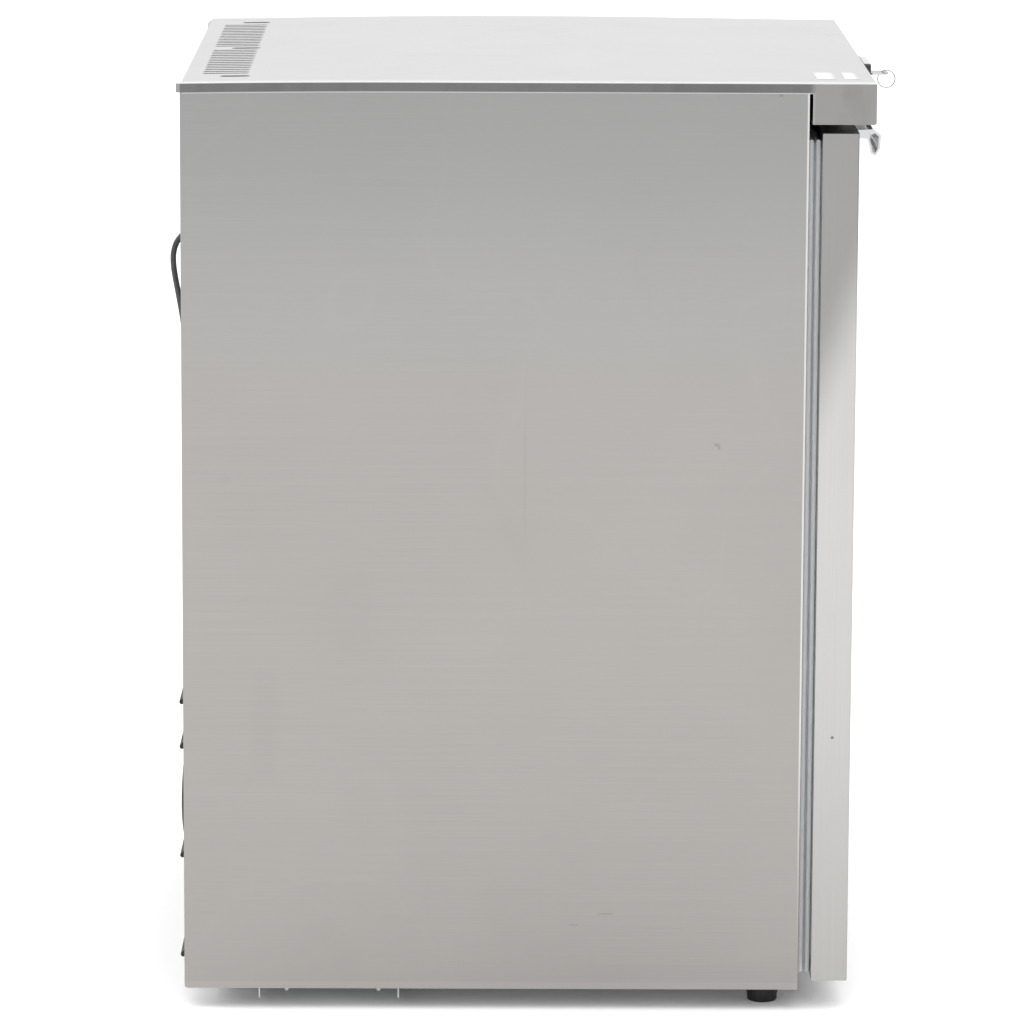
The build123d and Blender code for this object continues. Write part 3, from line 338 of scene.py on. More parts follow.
def top_smudge_and_painted_light(shader, colour):
    """The worktop: light on top, painted shade on its folded edges, more on the side flanges than
    on the nose and less on the lugs, and painted highlights on the rim of the left edge and on the
    hem along the edges' foot.
    """
    # heights are taken from the drooping face, so that the painted shade on the edge follows it
    back = shader.math("MAXIMUM", shader.math("SUBTRACT", shader.axis("Y"), DROOP_FROM), 0.0)
    droop = shader.math("MULTIPLY", shader.math("MULTIPLY", back, back), DROOP_RATE)
    height = shader.math("ADD", shader.axis("Z"), droop)
    edge = shader.span(height, *EDGE_Z, 1.0, 0.0)
    # the painted shade is lighter on the lugs than on the edges, the right one more so
    lug_light = shader.span(shader.axis("X"), -0.1, 0.1, 0.35, 0.8)
    lug_light = shader.math("MULTIPLY", shader.span(shader.axis("Y"), *LUG_Y), lug_light)
    edge = shader.math("MULTIPLY", edge, shader.math("SUBTRACT", 1.0, lug_light))
    flange = shader.span(shader.axis("Y"), *NOSE_Y)
    # painted highlight on the hem at the foot of the flanges
    hem_highlight = shader.math("MULTIPLY", flange, shader.span(height, *HEM_HIGHLIGHT_Z, 1.0, 0.0))
    cloud = shader.noise(scale=30.0, detail=4.0, rough=0.6, stretch=(1.0, 1.0, 0.35))
    smudge = shader.math("MULTIPLY", edge, shader.span(cloud, 0.42, 0.66, smooth=True))
    # painted shade on the folded edges
    colour = tinted(shader, colour, edge, (0.435, 0.43, 0.422))
    colour = tinted(shader, colour, smudge, (0.88, 0.88, 0.89))
    # more painted shade on the side flanges than on the nose
    colour = tinted(shader, colour, shader.math("MULTIPLY", edge, flange), (0.58, 0.58, 0.59))
    # painted highlight on the rim of the left edge
    rim_highlight = shader.span(shader.axis("X"), *RIM_X, 1.0, 0.0)
    rim_highlight = shader.math("MULTIPLY", rim_highlight, shader.span(height, *RIM_Z))
    colour = shader.mix(rim_highlight, colour, (0.70, 0.70, 0.70))
    return shader.mix(hem_highlight, colour, (0.46, 0.46, 0.46))


DOOR_SLANT = 2.6              # how steeply the door's painted upper shade slants across its side
DOOR_MARK = (-258, 252, 1.6, 1.6)


def door_shade_and_mark(shader, colour):
    """The door: painted shade near its top, with a slanting change, and a little darker low down.
    """
    # painted shade over the upper door, its edge slanting across the side
    slant = shader.math("MULTIPLY", shader.axis("Y"), DOOR_SLANT)
    height = shader.math("ADD", shader.axis("Z"), slant)
    upper = shader.span(height, -0.13, 0.01, smooth=True)
    colour = tinted(shader, colour, upper, (0.575, 0.575, 0.575))
    lower = shader.span(shader.axis("Z"), 0.03, 0.46, 1.0, 0.0, smooth=True)
    colour = tinted(shader, colour, lower, (0.80, 0.80, 0.79))
    return tinted(shader, colour, shader.spot(*DOOR_MARK), (0.35, 0.33, 0.32))


# one stainless steel in lit and shaded copies: its base colour is painted darker on the side
# panels, lighter on the door and lighter still on the worktop, for the light each face takes
STEEL = (0.329, 0.326, 0.321)
TOP_STEEL = (0.60, 0.60, 0.60)
DOOR_STEEL = (0.475, 0.47, 0.463)
FRAME_STEEL = (0.42, 0.42, 0.415)
MATERIALS = {
    "side": brushed_steel("brushed side panel", STEEL, "Y", overlay=side_stains_and_shade),
    "top": brushed_steel("brushed worktop", TOP_STEEL, "Y", (0.26, 0.34), 0.015, top_smudge_and_painted_light),
    "door": brushed_steel("brushed door", DOOR_STEEL, "Z", contrast=0.05, overlay=door_shade_and_mark),
    "frame": brushed_steel("brushed face frame", FRAME_STEEL, "X"),
    "galvanised": galvanised("galvanised sheet"),
    "zinc": plain_metal("zinc plate", (0.62, 0.63, 0.64)),
    "chrome": plain_metal("chrome plate", (0.52, 0.53, 0.54), rough=(0.04, 0.10),
                          scale=30.0, contrast=0.05, strength=0.03),
    "wire": plain_metal("bright wire", (0.27, 0.275, 0.28), rough=(0.2, 0.3),
                        scale=30.0, contrast=0.05, strength=0.03),
    "steel black": plain_metal("black painted steel", (0.03, 0.03, 0.033), rough=(0.3, 0.45)),
    "copper": plain_metal("copper", (0.72, 0.40, 0.26), scale=45.0, contrast=0.3),
    "aluminium": plain_metal("aluminium", (0.70, 0.71, 0.72), rough=(0.3, 0.45)),
    "brass": plain_metal("brass pins", (0.78, 0.62, 0.32), rough=(0.2, 0.32)),
    "black plastic": moulded("black plastic", (0.005, 0.005, 0.006), rough=(0.5, 0.65),
                             lift=0.02),
    "gloss black": moulded("glossy black plastic", (0.010, 0.010, 0.011), rough=(0.10, 0.18),
                           grain=600.0, strength=0.03, lift=0.03),
    "black rubber": moulded("black rubber", (0.016, 0.016, 0.016), rough=(0.55, 0.7)),
    "cord": moulded("cord sheath", (0.010, 0.010, 0.011), rough=(0.32, 0.45), grain=500.0),
    "gasket": moulded("grey gasket", (0.70, 0.71, 0.73), rough=(0.42, 0.46),
                      strength=0.05, lift=0.03),
    "liner": moulded("white liner", (0.67, 0.68, 0.68), rough=(0.32, 0.38),
                     grain=250.0, strength=0.05, lift=0.06),
    "foam": moulded("foam", (0.80, 0.72, 0.50), rough=(0.8, 0.95), grain=300.0, strength=0.4),
    "nylon": moulded("nylon", (0.62, 0.61, 0.57), rough=(0.35, 0.5)),
    "board": moulded("circuit board", (0.02, 0.14, 0.06), rough=(0.3, 0.45)),
    "button": moulded("grey buttons", (0.12, 0.125, 0.13), rough=(0.35, 0.5)),
    "lamp": moulded("lamp cover", (0.84, 0.85, 0.82), rough=(0.2, 0.3)),
    "window": moulded("smoked window", (0.20, 0.03, 0.03), rough=(0.03, 0.07),
                      grain=200.0, strength=0.02, lift=0.0,
                      Transmission_Weight=0.85, IOR=1.45),
    "digits": moulded("lit red digits", (0.8, 0.04, 0.03), rough=(0.4, 0.5),
                      grain=300.0, strength=0.02,
                      Emission_Color=(1.0, 0.06, 0.03, 1.0), Emission_Strength=6.0),
    "mark": moulded("pale button marks", (0.75, 0.76, 0.77), rough=(0.4, 0.5),
                    grain=300.0, strength=0.02),
    "label": moulded("blank paper label", (0.60, 0.60, 0.595), rough=(0.5, 0.6),
                     grain=700.0, strength=0.1),
    # a painted reflection on the top of the controller's bezel
    "bezel_reflection": moulded("pale painted reflection", (0.52, 0.52, 0.53), rough=(0.15, 0.25),
                    grain=300.0, strength=0.05),
}

NODE_MATERIALS = {
    "side": ["left_side_panel", "right_side_panel"],
    "top": ["worktop"],
    "door": ["door_skin"],
    "frame": ["front_frame"],
    "galvanised": ["base_pan", "back_wall", "rear_duct_cover", "compressor_plate", "rear_rail"],
    "zinc": ["base_fasteners", "fan_motor", "shelf_clips", "lock_cam", "upper_hinge",
             "lower_hinge", "handle_screws"],
    "chrome": ["lower_shelf", "upper_shelf", "lock_housing", "lock_plug", "key", "door_handle"],
    "wire": ["key_ring"],
    "steel black": ["compressor", "condenser"],
    "copper": ["refrigerant_lines"],
    "aluminium": ["evaporator", "shelf_uprights"],
    "brass": ["plug_pins"],
    "black plastic": ["intake_grille", "left_foot", "right_foot", "start_relay", "drip_tray",
                      "fan_blades", "lock_keeper"],
    "gloss black": ["controller_body"],
    "black rubber": ["compressor_grommets", "cord_gland"],
    "cord": ["power_cord", "cord_coil", "power_plug"],
    "gasket": ["door_gasket"],
    "liner": ["inner_liner", "evaporator_cover", "door_liner"],
    "foam": ["insulation", "door_foam"],
    "nylon": ["left_roller", "right_roller", "drain_tube", "hinge_bushes"],
    "board": ["controller_board"],
    "button": ["button_set", "button_up", "button_lamp", "button_down"],
    "lamp": ["lamp"],
    "window": ["controller_window"],
}


# ---------------------------------------------------------------- shapes
def soften(target, width=0.6, segments=2, angle=35.0):
    """Weld, round the sharp edges by a width in millimetres, and even out the shading."""
    weld = target.modifiers.new("weld", "WELD")
    weld.merge_threshold = WELD_REACH
    bevel = target.modifiers.new("bevel", "BEVEL")
    bevel.width = width * MM
    bevel.segments = segments
    bevel.limit_method = "ANGLE"
    bevel.angle_limit = math.radians(angle)
    bevel.use_clamp_overlap = True
    bevel.harden_normals = False
    normals = target.modifiers.new("normals", "WEIGHTED_NORMAL")
    normals.keep_sharp = True


def piece(name, mesh, body, look):
    """Make an object of a mesh, with its material, that rides on a body."""
    made = bpy.data.objects.new(name, mesh)
    scene.collection.objects.link(made)
    mesh.materials.clear()
    mesh.materials.append(MATERIALS[look])
    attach(made, body)
    return made


def to_mesh(bm, name, smooth=None):
    """Turn a bmesh into a mesh; smooth is the sharpest angle that is shaded smooth."""
    bmesh.ops.recalc_face_normals(bm, faces=bm.faces)
    mesh = bpy.data.meshes.new(name)
    bm.to_mesh(mesh)
    bm.free()
    if smooth is not None:
        mesh.polygons.foreach_set("use_smooth", [True] * len(mesh.polygons))
        mesh.set_sharp_from_angle(angle=math.radians(smooth))
    return mesh


def copied(node, cuts):
    """A free copy of a node's mesh, cut along planes so that it can be shaped."""
    bm = bmesh.new()
    bm.from_mesh(nodes[node].data)
    bmesh.ops.remove_doubles(bm, verts=bm.verts, dist=WELD_REACH)
    flat = math.radians(1.0)
    bmesh.ops.dissolve_limit(bm, angle_limit=flat, verts=bm.verts, edges=bm.edges)
    for axis, values in enumerate(cuts):
        for value in values:
            place, facing = Vector(), Vector()
            place[axis], facing[axis] = value * MM, 1.0
            geom = bm.verts[:] + bm.edges[:] + bm.faces[:]
            bmesh.ops.bisect_plane(bm, geom=geom, plane_co=place, plane_no=facing, dist=0.000001)
    return bm


def steps(low, high, count):
    """Evenly spaced values between two ends, without the ends."""
    return [low + (high - low) * (i + 1) / (count + 1) for i in range(count)]


# The worktop isn't quite flat: it crowns towards the far side and droops at the rear.
TOP_LIFT = 2.6
TOP_DROOP = 1.9
CROWN_START, CROWN_RUN = -260, 540      # the crown's start and length along Y
DROOP_START, DROOP_RUN = 110, 216       # the droop's start and length along Y
DROOP_EASE = 0.42                       # how much less the far side droops


def top_lift(x, y):
    """How far the sheet's face stands above or below its nominal plane, in millimetres."""
    across = min(max((x + HALF_WIDTH) / (2 * HALF_WIDTH), 0.0), 1.0)
    along = min(max((y - CROWN_START) / CROWN_RUN, 0.0), 1.0)
    crown = TOP_LIFT * across * math.sin(math.pi * along)
    sunk = max(0.0, (y - DROOP_START) / DROOP_RUN) ** 2
    return crown - TOP_DROOP * (1 - DROOP_EASE * across) * sunk


FACE_Z = 0.8399               # the worktop's face lies above this, in metres
FOLD_ROUND = 0.0017           # rounding of its side edges
UPRIGHT_Z, UPRIGHT_RUN = 0.803, 0.027   # the lift grows from none at the foot of the folds
TUCK_FROM = (0.285, 0.3217, 0.834)      # beyond this place is the far rear corner
TUCK_DROP = 0.0035                      # how far that corner is tucked down


def make_worktop():
    """The worktop's sheet, crowned and drooping, with rounded side edges."""
    columns, rows = steps(-HALF_WIDTH, HALF_WIDTH, 11), steps(TOP_FRONT, TOP_REAR, 15)
    bm = copied("worktop", (columns, rows, ()))
    side_x = HALF_WIDTH * MM
    crease = [e for e in bm.edges
              if all(abs(abs(v.co.x) - side_x) < 1e-5 and v.co.z > FACE_Z for v in e.verts)]
    bmesh.ops.bevel(bm, geom=crease, offset=FOLD_ROUND, offset_type="OFFSET", segments=3,
                    affect="EDGES", profile=0.5, clamp_overlap=True)
    for vertex in bm.verts:
        lift = top_lift(vertex.co.x / MM, vertex.co.y / MM) * MM
        upright = min(1.0, max(0.0, (vertex.co.z - UPRIGHT_Z) / UPRIGHT_RUN))
        vertex.co.z += lift * upright
        if all(place > start for place, start in zip(vertex.co, TUCK_FROM)):
            vertex.co.z -= TUCK_DROP
    made = piece("worktop_sheet", to_mesh(bm, "worktop_sheet", 30), "cabinet", "top")
    soften(made, 0.35, 2, 40)
    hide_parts("worktop")


CORNER_Y, CORNER_Z = 0.320, 0.022       # middle of the rounding of the lower rear corner
CORNER_ROUND = 0.003
OUTER_X = 0.2975              # only the sheet beyond this is waved
WAVE_Y, WAVE_Z, WAVE_PLANE = 210, 260, 3.1      # lengths of the waves, and where noise is cut
WAVE_DEPTH, WAVE_BIAS = 0.55, 0.4
WAVE_FADE = 60                # the waves die out this far from the edges


def make_side_panel(node, side):
    """A side panel whose thin sheet is very slightly wavy, as folded sheet is."""
    rows = steps(-228, 319, 21) + [320.0, 322.1]
    levels = [19.9, 22.0] + steps(23, 828, 29)
    bm = copied(node, ((), rows, levels))
    for vertex in bm.verts:
        beyond = Vector((vertex.co.y - CORNER_Y, CORNER_Z - vertex.co.z))
        if min(beyond) > 0 and beyond.length > CORNER_ROUND:
            beyond = beyond.normalized() * CORNER_ROUND
            vertex.co.y, vertex.co.z = CORNER_Y + beyond.x, CORNER_Z - beyond.y
        if abs(vertex.co.x) > OUTER_X:
            y, z = vertex.co.y / MM, vertex.co.z / MM
            gap = min(y - PANEL_FRONT, PANEL_REAR - y, z - PANEL_BOTTOM, PANEL_TOP - z)
            if gap > 0:
                wave = noise.noise(Vector((y / WAVE_Y + side, z / WAVE_Z, WAVE_PLANE)))
                depth = WAVE_DEPTH * MM * max(0.0, wave + WAVE_BIAS)
                vertex.co.x -= side * depth * min(1.0, gap / WAVE_FADE)
    mesh = to_mesh(bm, node + "_sheet", 20)
    made = piece(node + "_sheet", mesh, "cabinet", "side")
    soften(made, 0.45, 3, 40)
    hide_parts(node)


make_worktop()
make_side_panel("left_side_panel", -1)
make_side_panel("right_side_panel", 1)


def framed(name, profile, half_x, low, high):
    """Carry a closed profile of (inset, y) pairs round a rectangle, with mitred corners."""
    bm = bmesh.new()
    rings = []
    for sx, sz in ((-1, -1), (1, -1), (1, 1), (-1, 1)):
        ring = []
        for inset, y in profile:
            z = low + inset if sz < 0 else high - inset
            ring.append(bm.verts.new(mm(sx * (half_x - inset), y, z)))
        rings.append(ring)
    count = len(profile)
    for first, second in zip(rings, rings[1:] + rings[:1]):
        for i in range(count):
            j = (i + 1) % count
            bm.faces.new((first[i], first[j], second[j], second[i]))
    return to_mesh(bm, name, 50)


# the gasket's section, from the door's liner round its two outer ridges and back
GASKET_PROFILE = [
    (3.2, -242.0), (2.4, -241.8), (1.3, -241.5), (0.6, -240.9), (0.1, -240.0), (0.0, -239.2),
    (0.2, -238.3), (0.8, -237.4), (2.0, -236.8), (4.0, -236.5), (4.0, -236.2), (2.0, -235.9),
    (0.8, -235.3), (0.2, -234.5), (0.0, -233.6), (0.1, -232.6), (0.5, -231.6), (1.4, -230.9),
    (2.6, -230.4), (12.4, -230.4), (13.5, -231.2), (13.9, -233.0), (13.2, -235.0),
    (11.4, -236.0), (13.1, -237.0), (13.8, -238.9), (13.1, -240.4), (12.2, -241.3),
    (12.0, -242.0),
]
gasket_mesh = framed("bellows_gasket", GASKET_PROFILE, half_x=281, low=31, high=787.5)
gasket = piece("bellows_gasket", gasket_mesh, "door", "gasket")
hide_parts("door_gasket")


# ---------------------------------------------------------------- mains cord
CORD_R = 2.9
COIL_X, COIL_Y = 356.0, 215.0
CORD_ROUTE = [
    (262.0, 326.0, 637.5), (262.0, 333.6, 637.5), (262.2, 345.4, 634.3), (262.5, 354.8, 625.9),
    (262.9, 359.4, 614.0), (263.2, 359.6, 601.0), (263.5, 357.5, 586.5), (263.8, 354.0, 568.0),
    (264.2, 349.6, 542.0), (264.6, 346.4, 505.0), (265.2, 344.0, 455.0), (266.5, 342.4, 400.0),
    (268.0, 340.8, 342.0), (269.4, 340.2, 284.0), (270.9, 340.6, 226.0), (272.5, 344.9, 170.0),
    (274.2, 348.2, 118.0), (276.7, 352.0, 78.0), (281.2, 352.8, 46.0), (289.8, 351.5, 21.5),
    (303.5, 348.5, 7.5), (321.0, 342.5, 3.2), (339.0, 331.5, 3.0), (354.5, 315.5, 3.0),
    (366.5, 295.0, 3.0), (376.0, 271.0, 3.0), (383.0, 247.0, 3.0), (388.5, 226.0, 3.0),
]
TAIL_ROUTE = [(389.0, 197.0, 8.0), (387.5, 185.0, 6.4), (385.5, 167.0, 5.8), (382.5, 148.0, 6.5)]
# each turn of the coil: its radius and its height
COIL_TURNS = [(36.2, 3.0), (30.3, 3.0), (30.2, 8.8), (30.6, 14.6), (36.0, 8.9)]
TURN_POINTS = 16
HANDOVER = 0.72               # the share of a turn after which it moves over to the next one
NURBS_REACH = 1.012           # a smooth curve runs this much inside its control points
COIL_SWAY, SWAY_RATE = 0.35, 5.1


def coil_points():
    """Control points of the coil, from its outer turn inwards, up and out again."""
    points = []
    for index, (radius, height) in enumerate(COIL_TURNS):
        next_radius, next_height = COIL_TURNS[min(index + 1, len(COIL_TURNS) - 1)]
        for step in range(TURN_POINTS):
            turn = step / TURN_POINTS
            late = min(1.0, max(0.0, (turn - HANDOVER) / (1 - HANDOVER)))
            sway = COIL_SWAY * math.sin(SWAY_RATE * (index + turn))
            reach = (radius + (next_radius - radius) * late) * NURBS_REACH + sway
            rise = height + (next_height - height) * late
            angle = -2 * math.pi * turn
            x, y = COIL_X + reach * math.cos(angle), COIL_Y + reach * math.sin(angle)
            points.append((x, y, rise))
    return points


def nurbs(name, points, radius):
    """A smooth round line through space, with the points as its control points."""
    curve = bpy.data.curves.new(name, "CURVE")
    curve.dimensions = "3D"
    curve.bevel_depth = radius * MM
    curve.bevel_resolution = 6
    curve.resolution_u = 8
    curve.use_fill_caps = True
    spline = curve.splines.new("NURBS")
    spline.points.add(len(points) - 1)
    for point, place in zip(spline.points, points):
        point.co = (*mm(*place), 1.0)
    spline.order_u = 3
    spline.use_endpoint_u = True
    return curve


CORD_POINTS = CORD_ROUTE + coil_points() + TAIL_ROUTE
cord = piece("mains_cord", nurbs("mains_cord", CORD_POINTS, CORD_R), "cabinet", "cord")
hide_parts("power_cord", "cord_coil")


def route_line(curve_points, reach):
    """The cord's middle line from its start, as far as a length in millimetres."""
    bare = bpy.data.objects.new("bare", nurbs("bare", curve_points, 0.0))
    scene.collection.objects.link(bare)
    bpy.context.view_layer.update()
    line = bpy.data.meshes.new_from_object(bare)
    places = [v.co.copy() for v in line.vertices]
    bpy.data.objects.remove(bare)
    kept, gone = [places[0]], 0.0
    for before, after in zip(places, places[1:]):
        gone += (after - before).length / MM
        if gone > reach:
            break
        kept.append(after)
    return kept


def sleeve(name, places, radii):
    """A round sleeve along a line, one radius in millimetres for each ring."""
    bm = bmesh.new()
    rings, sides = [], 20
    for index, place in enumerate(places):
        before = places[max(index - 1, 0)]
        after = places[min(index + 1, len(places) - 1)]
        along = (after - before).normalized()
        right = along.cross(Vector((1, 0, 0))).normalized()
        up = along.cross(right)
        ring = []
        for step in range(sides):
            angle = 2 * math.pi * step / sides
            outward = right * math.cos(angle) + up * math.sin(angle)
            ring.append(bm.verts.new(place + outward * radii[index] * MM))
        rings.append(ring)
    for first, second in zip(rings, rings[1:]):
        for i in range(sides):
            j = (i + 1) % sides
            bm.faces.new((first[i], first[j], second[j], second[i]))
    bm.faces.new(rings[0])
    bm.faces.new(rings[-1])
    return to_mesh(bm, name, 60)


RELIEF_LENGTH = 21
RELIEF_R, RELIEF_TAPER = 4.4, 1.1       # its radius at the gland, and how much it loses
RIB_HEIGHT, RIB_TAPER = 0.55, 0.3


def make_strain_relief():
    """A ribbed, tapered sleeve that carries on from the gland round the start of the bend."""
    line = route_line(CORD_POINTS, RELIEF_LENGTH)
    dense = []
    for before, after in zip(line, line[1:]):
        dense += [before.lerp(after, t / 4) for t in range(4)]
    dense.append(line[-1])
    radii = []
    for index in range(len(dense)):
        along = index / (len(dense) - 1)
        rib = RIB_HEIGHT if (index // 2) % 2 == 0 else 0.0
        radii.append(RELIEF_R - RELIEF_TAPER * along + rib * (1 - RIB_TAPER * along))
    mesh = sleeve("strain_relief", dense, radii)
    return piece("strain_relief", mesh, "cabinet", "black rubber")


def rounded_loop(width, height, radius, corner=4):
    """A rounded rectangle as (across, up) pairs about its middle."""
    points = []
    for sx, sz, start in ((1, 1, 0), (-1, 1, 90), (-1, -1, 180), (1, -1, 270)):
        for step in range(corner + 1):
            angle = math.radians(start + 90 * step / corner)
            points.append((sx * (width / 2 - radius) + radius * math.cos(angle),
                           sz * (height / 2 - radius) + radius * math.sin(angle)))
    return points


TIE_X, TIE_Z = COIL_X - 33.2, 9.5
TIE_HALF_WIDTH = 5.0


def make_tie():
    """A hook-and-loop strap round the coil, on the side away from the cord's ends."""
    bm = bmesh.new()
    outer, inner = rounded_loop(14.6, 19.0, 3.4), rounded_loop(13.2, 17.7, 2.8)
    rings = []
    for y in (-TIE_HALF_WIDTH, TIE_HALF_WIDTH):
        for loop in (outer, inner):
            rings.append([bm.verts.new(mm(TIE_X + a, COIL_Y + y, TIE_Z + b)) for a, b in loop])
    count = len(outer)
    for first, second in ((0, 2), (1, 3), (0, 1), (2, 3)):
        for i in range(count):
            j = (i + 1) % count
            bm.faces.new((rings[first][i], rings[first][j], rings[second][j], rings[second][i]))
    made = piece("cord_tie", to_mesh(bm, "cord_tie", 50), "cabinet", "black rubber")
    soften(made, 0.2, 2, 50)
    return made


relief = make_strain_relief()
tie = make_tie()


GRIP_SIZE = (0.0014, 0.0014, 0.013)     # one finger ridge of the plug, in metres
GRIP_X, GRIP_FROM, GRIP_PITCH = 0.0133, 0.006, 0.0032
GRIP_COUNT = 5


def make_plug_grips():
    """Finger ridges on both sides of the plug."""
    low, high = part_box("power_plug")
    bm = bmesh.new()
    middle_x, middle_z = (low[0] + high[0]) / 2, (low[2] + high[2]) / 2
    size = Matrix.Diagonal((*GRIP_SIZE, 1))
    for side in (-1, 1):
        for step in range(GRIP_COUNT):
            y = low[1] + GRIP_FROM + GRIP_PITCH * step
            place = Matrix.Translation((middle_x + side * GRIP_X, y, middle_z))
            bmesh.ops.create_cube(bm, size=1.0, matrix=place @ size)
    made = piece("plug_grips", to_mesh(bm, "plug_grips"), "cabinet", "black rubber")
    soften(made, 0.5, 3, 40)
    return made


grips = make_plug_grips()


# ---------------------------------------------------------------- small parts at the nose
RING_WIRE_R = 0.42
RING_TURNS, RING_POINTS = 1.85, 30
RING_START = 0.6              # the angle at which the wire's end shows
RING_GAP = 0.36               # from the middle plane to either turn of wire
RING_REACH = 1.01             # a smooth curve runs this much inside its control points


def make_key_ring():
    """A split ring: two turns of thin wire that lie against each other."""
    low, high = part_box("key_ring")
    middle = (Vector(low) + Vector(high)) / 2 / MM
    radius = (high[2] - low[2]) / 2 / MM - 0.35
    points = []
    for step in range(RING_POINTS + 1):
        turns = RING_TURNS * step / RING_POINTS
        angle = 2 * math.pi * turns + RING_START
        # the wire crosses from one plane to the other as its first turn ends
        side = RING_GAP * (1 if turns > 1.0 else -1) * min(1.0, abs(turns - 0.95) * 5)
        points.append((middle.x + side, middle.y + radius * math.cos(angle) * RING_REACH,
                       middle.z + radius * math.sin(angle) * RING_REACH))
    made = piece("split_ring", nurbs("split_ring", points, RING_WIRE_R), "ring", "wire")
    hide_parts("key_ring")


make_key_ring()


def prism(bm, outline, y_front, y_rear):
    """Extrude an (x, z) outline in millimetres from one Y to another."""
    front = [bm.verts.new(mm(x, y_front, z)) for x, z in outline]
    rear = [bm.verts.new(mm(x, y_rear, z)) for x, z in outline]
    bm.faces.new(front)
    bm.faces.new(list(reversed(rear)))
    count = len(outline)
    for i in range(count):
        j = (i + 1) % count
        bm.faces.new((front[i], rear[i], rear[j], front[j]))


# the bars of a seven-bar figure: middle x, middle z, and whether the bar lies flat
SEGMENTS = {
    "a": (0, 5.2, True), "b": (2.6, 2.6, False), "c": (2.6, -2.6, False), "d": (0, -5.2, True),
    "e": (-2.6, -2.6, False), "f": (-2.6, 2.6, False), "g": (0, 0, True),
}
FIGURES = {"3": "abcdg", "4": "fgbc"}
DISPLAY = (("3", -83.5), ("4", -74.0))  # the figures shown, and where along X
DISPLAY_Z = 821
DISPLAY_Y = (-294.56, -294.44)
BAR_LONG, BAR_THICK, BAR_POINT = 2.1, 0.6, 0.6      # half length, half width, pointed end


def make_digits():
    """The display's generic figures, lit behind the window."""
    bm = bmesh.new()
    shoulder = BAR_LONG - BAR_POINT
    bar_outline = [(-BAR_LONG, 0), (-shoulder, BAR_THICK), (shoulder, BAR_THICK),
                   (BAR_LONG, 0), (shoulder, -BAR_THICK), (-shoulder, -BAR_THICK)]
    for figure, x in DISPLAY:
        for bar in FIGURES[figure]:
            dx, dz, flat = SEGMENTS[bar]
            outline = [(x + dx + (a if flat else b), DISPLAY_Z + dz + (b if flat else a))
                       for a, b in bar_outline]
            prism(bm, outline, *DISPLAY_Y)
    piece("display_figures", to_mesh(bm, "display_figures"), "cabinet", "digits")


make_digits()


def make_button_mark(name, body, outline):
    """A slightly raised mark on one button."""
    low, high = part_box(name)
    middle_x, middle_z = (low[0] + high[0]) / 2 / MM, (low[2] + high[2]) / 2 / MM
    front = low[1] / MM
    bm = bmesh.new()
    placed = [(middle_x + x, middle_z + z) for x, z in outline]
    prism(bm, placed, front - 0.12, front + 0.1)
    piece(name + "_mark", to_mesh(bm, name + "_mark"), body, "mark")


# the pale strip that paints the reflection on the bezel's top:
REFLECTION_INSET = 3                # from the bezel's ends
REFLECTION_Z = (-0.25, 0.15)        # from the bezel's top
REFLECTION_Y = (0.8, 6.2)           # from the bezel's front


def make_bezel_reflection():
    """A painted reflection: a pale strip on the top edge of the controller's bezel."""
    low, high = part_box("controller_body")
    left, right = low[0] / MM + REFLECTION_INSET, high[0] / MM - REFLECTION_INSET
    front, top = low[1] / MM, high[2] / MM
    under, over = (top + z for z in REFLECTION_Z)
    bm = bmesh.new()
    prism(bm, [(left, under), (right, under), (right, over), (left, over)],
          front + REFLECTION_Y[0], front + REFLECTION_Y[1])
    mesh = to_mesh(bm, "painted_bezel_reflection")
    made = piece("painted_bezel_reflection", mesh, "cabinet", "bezel_reflection")
    soften(made, 0.1, 2, 50)


make_bezel_reflection()

UP_MARK = [(-1.5, -0.9), (1.5, -0.9), (0, 1.2)]
DOWN_MARK = [(x, -z) for x, z in reversed(UP_MARK)]
SET_MARK = [(-1.3, -0.45), (1.3, -0.45), (1.3, 0.45), (-1.3, 0.45)]
LAMP_MARK = [(1.1 * math.cos(math.radians(a)), 1.1 * math.sin(math.radians(a)))
             for a in range(0, 360, 45)]
make_button_mark("button_up", "up_key", UP_MARK)
make_button_mark("button_down", "down_key", DOWN_MARK)
make_button_mark("button_set", "set_key", SET_MARK)
make_button_mark("button_lamp", "lamp_key", LAMP_MARK)

LABEL_Z = 840.08
LABEL_THICK = 0.00008


def make_label(name, x, y):
    """A blank paper label stuck on the worktop, following its curve."""
    bm = bmesh.new()
    columns, rows = 6, 3
    grid = []
    for i in range(columns + 1):
        for j in range(rows + 1):
            px = x[0] + (x[1] - x[0]) * i / columns
            py = y[0] + (y[1] - y[0]) * j / rows
            grid.append(bm.verts.new(mm(px, py, LABEL_Z + top_lift(px, py))))
    for i in range(columns):
        for j in range(rows):
            a = i * (rows + 1) + j
            bm.faces.new((grid[a], grid[a + rows + 1], grid[a + rows + 2], grid[a + 1]))
    made = piece(name, to_mesh(bm, name, 30), "cabinet", "label")
    thick = made.modifiers.new("thickness", "SOLIDIFY")
    thick.thickness = LABEL_THICK
    thick.offset = 1.0


make_label("worktop_label_1", (-272, -211), (-254.8, -237.6))
make_label("worktop_label_2", (-272, -211), (-274.6, -262.2))


RIB_COUNT = 30
RIB_SIZE = (0.0008, 0.0013, 0.0066)
RIB_REACH, RIB_Z = 0.0139, 0.0107


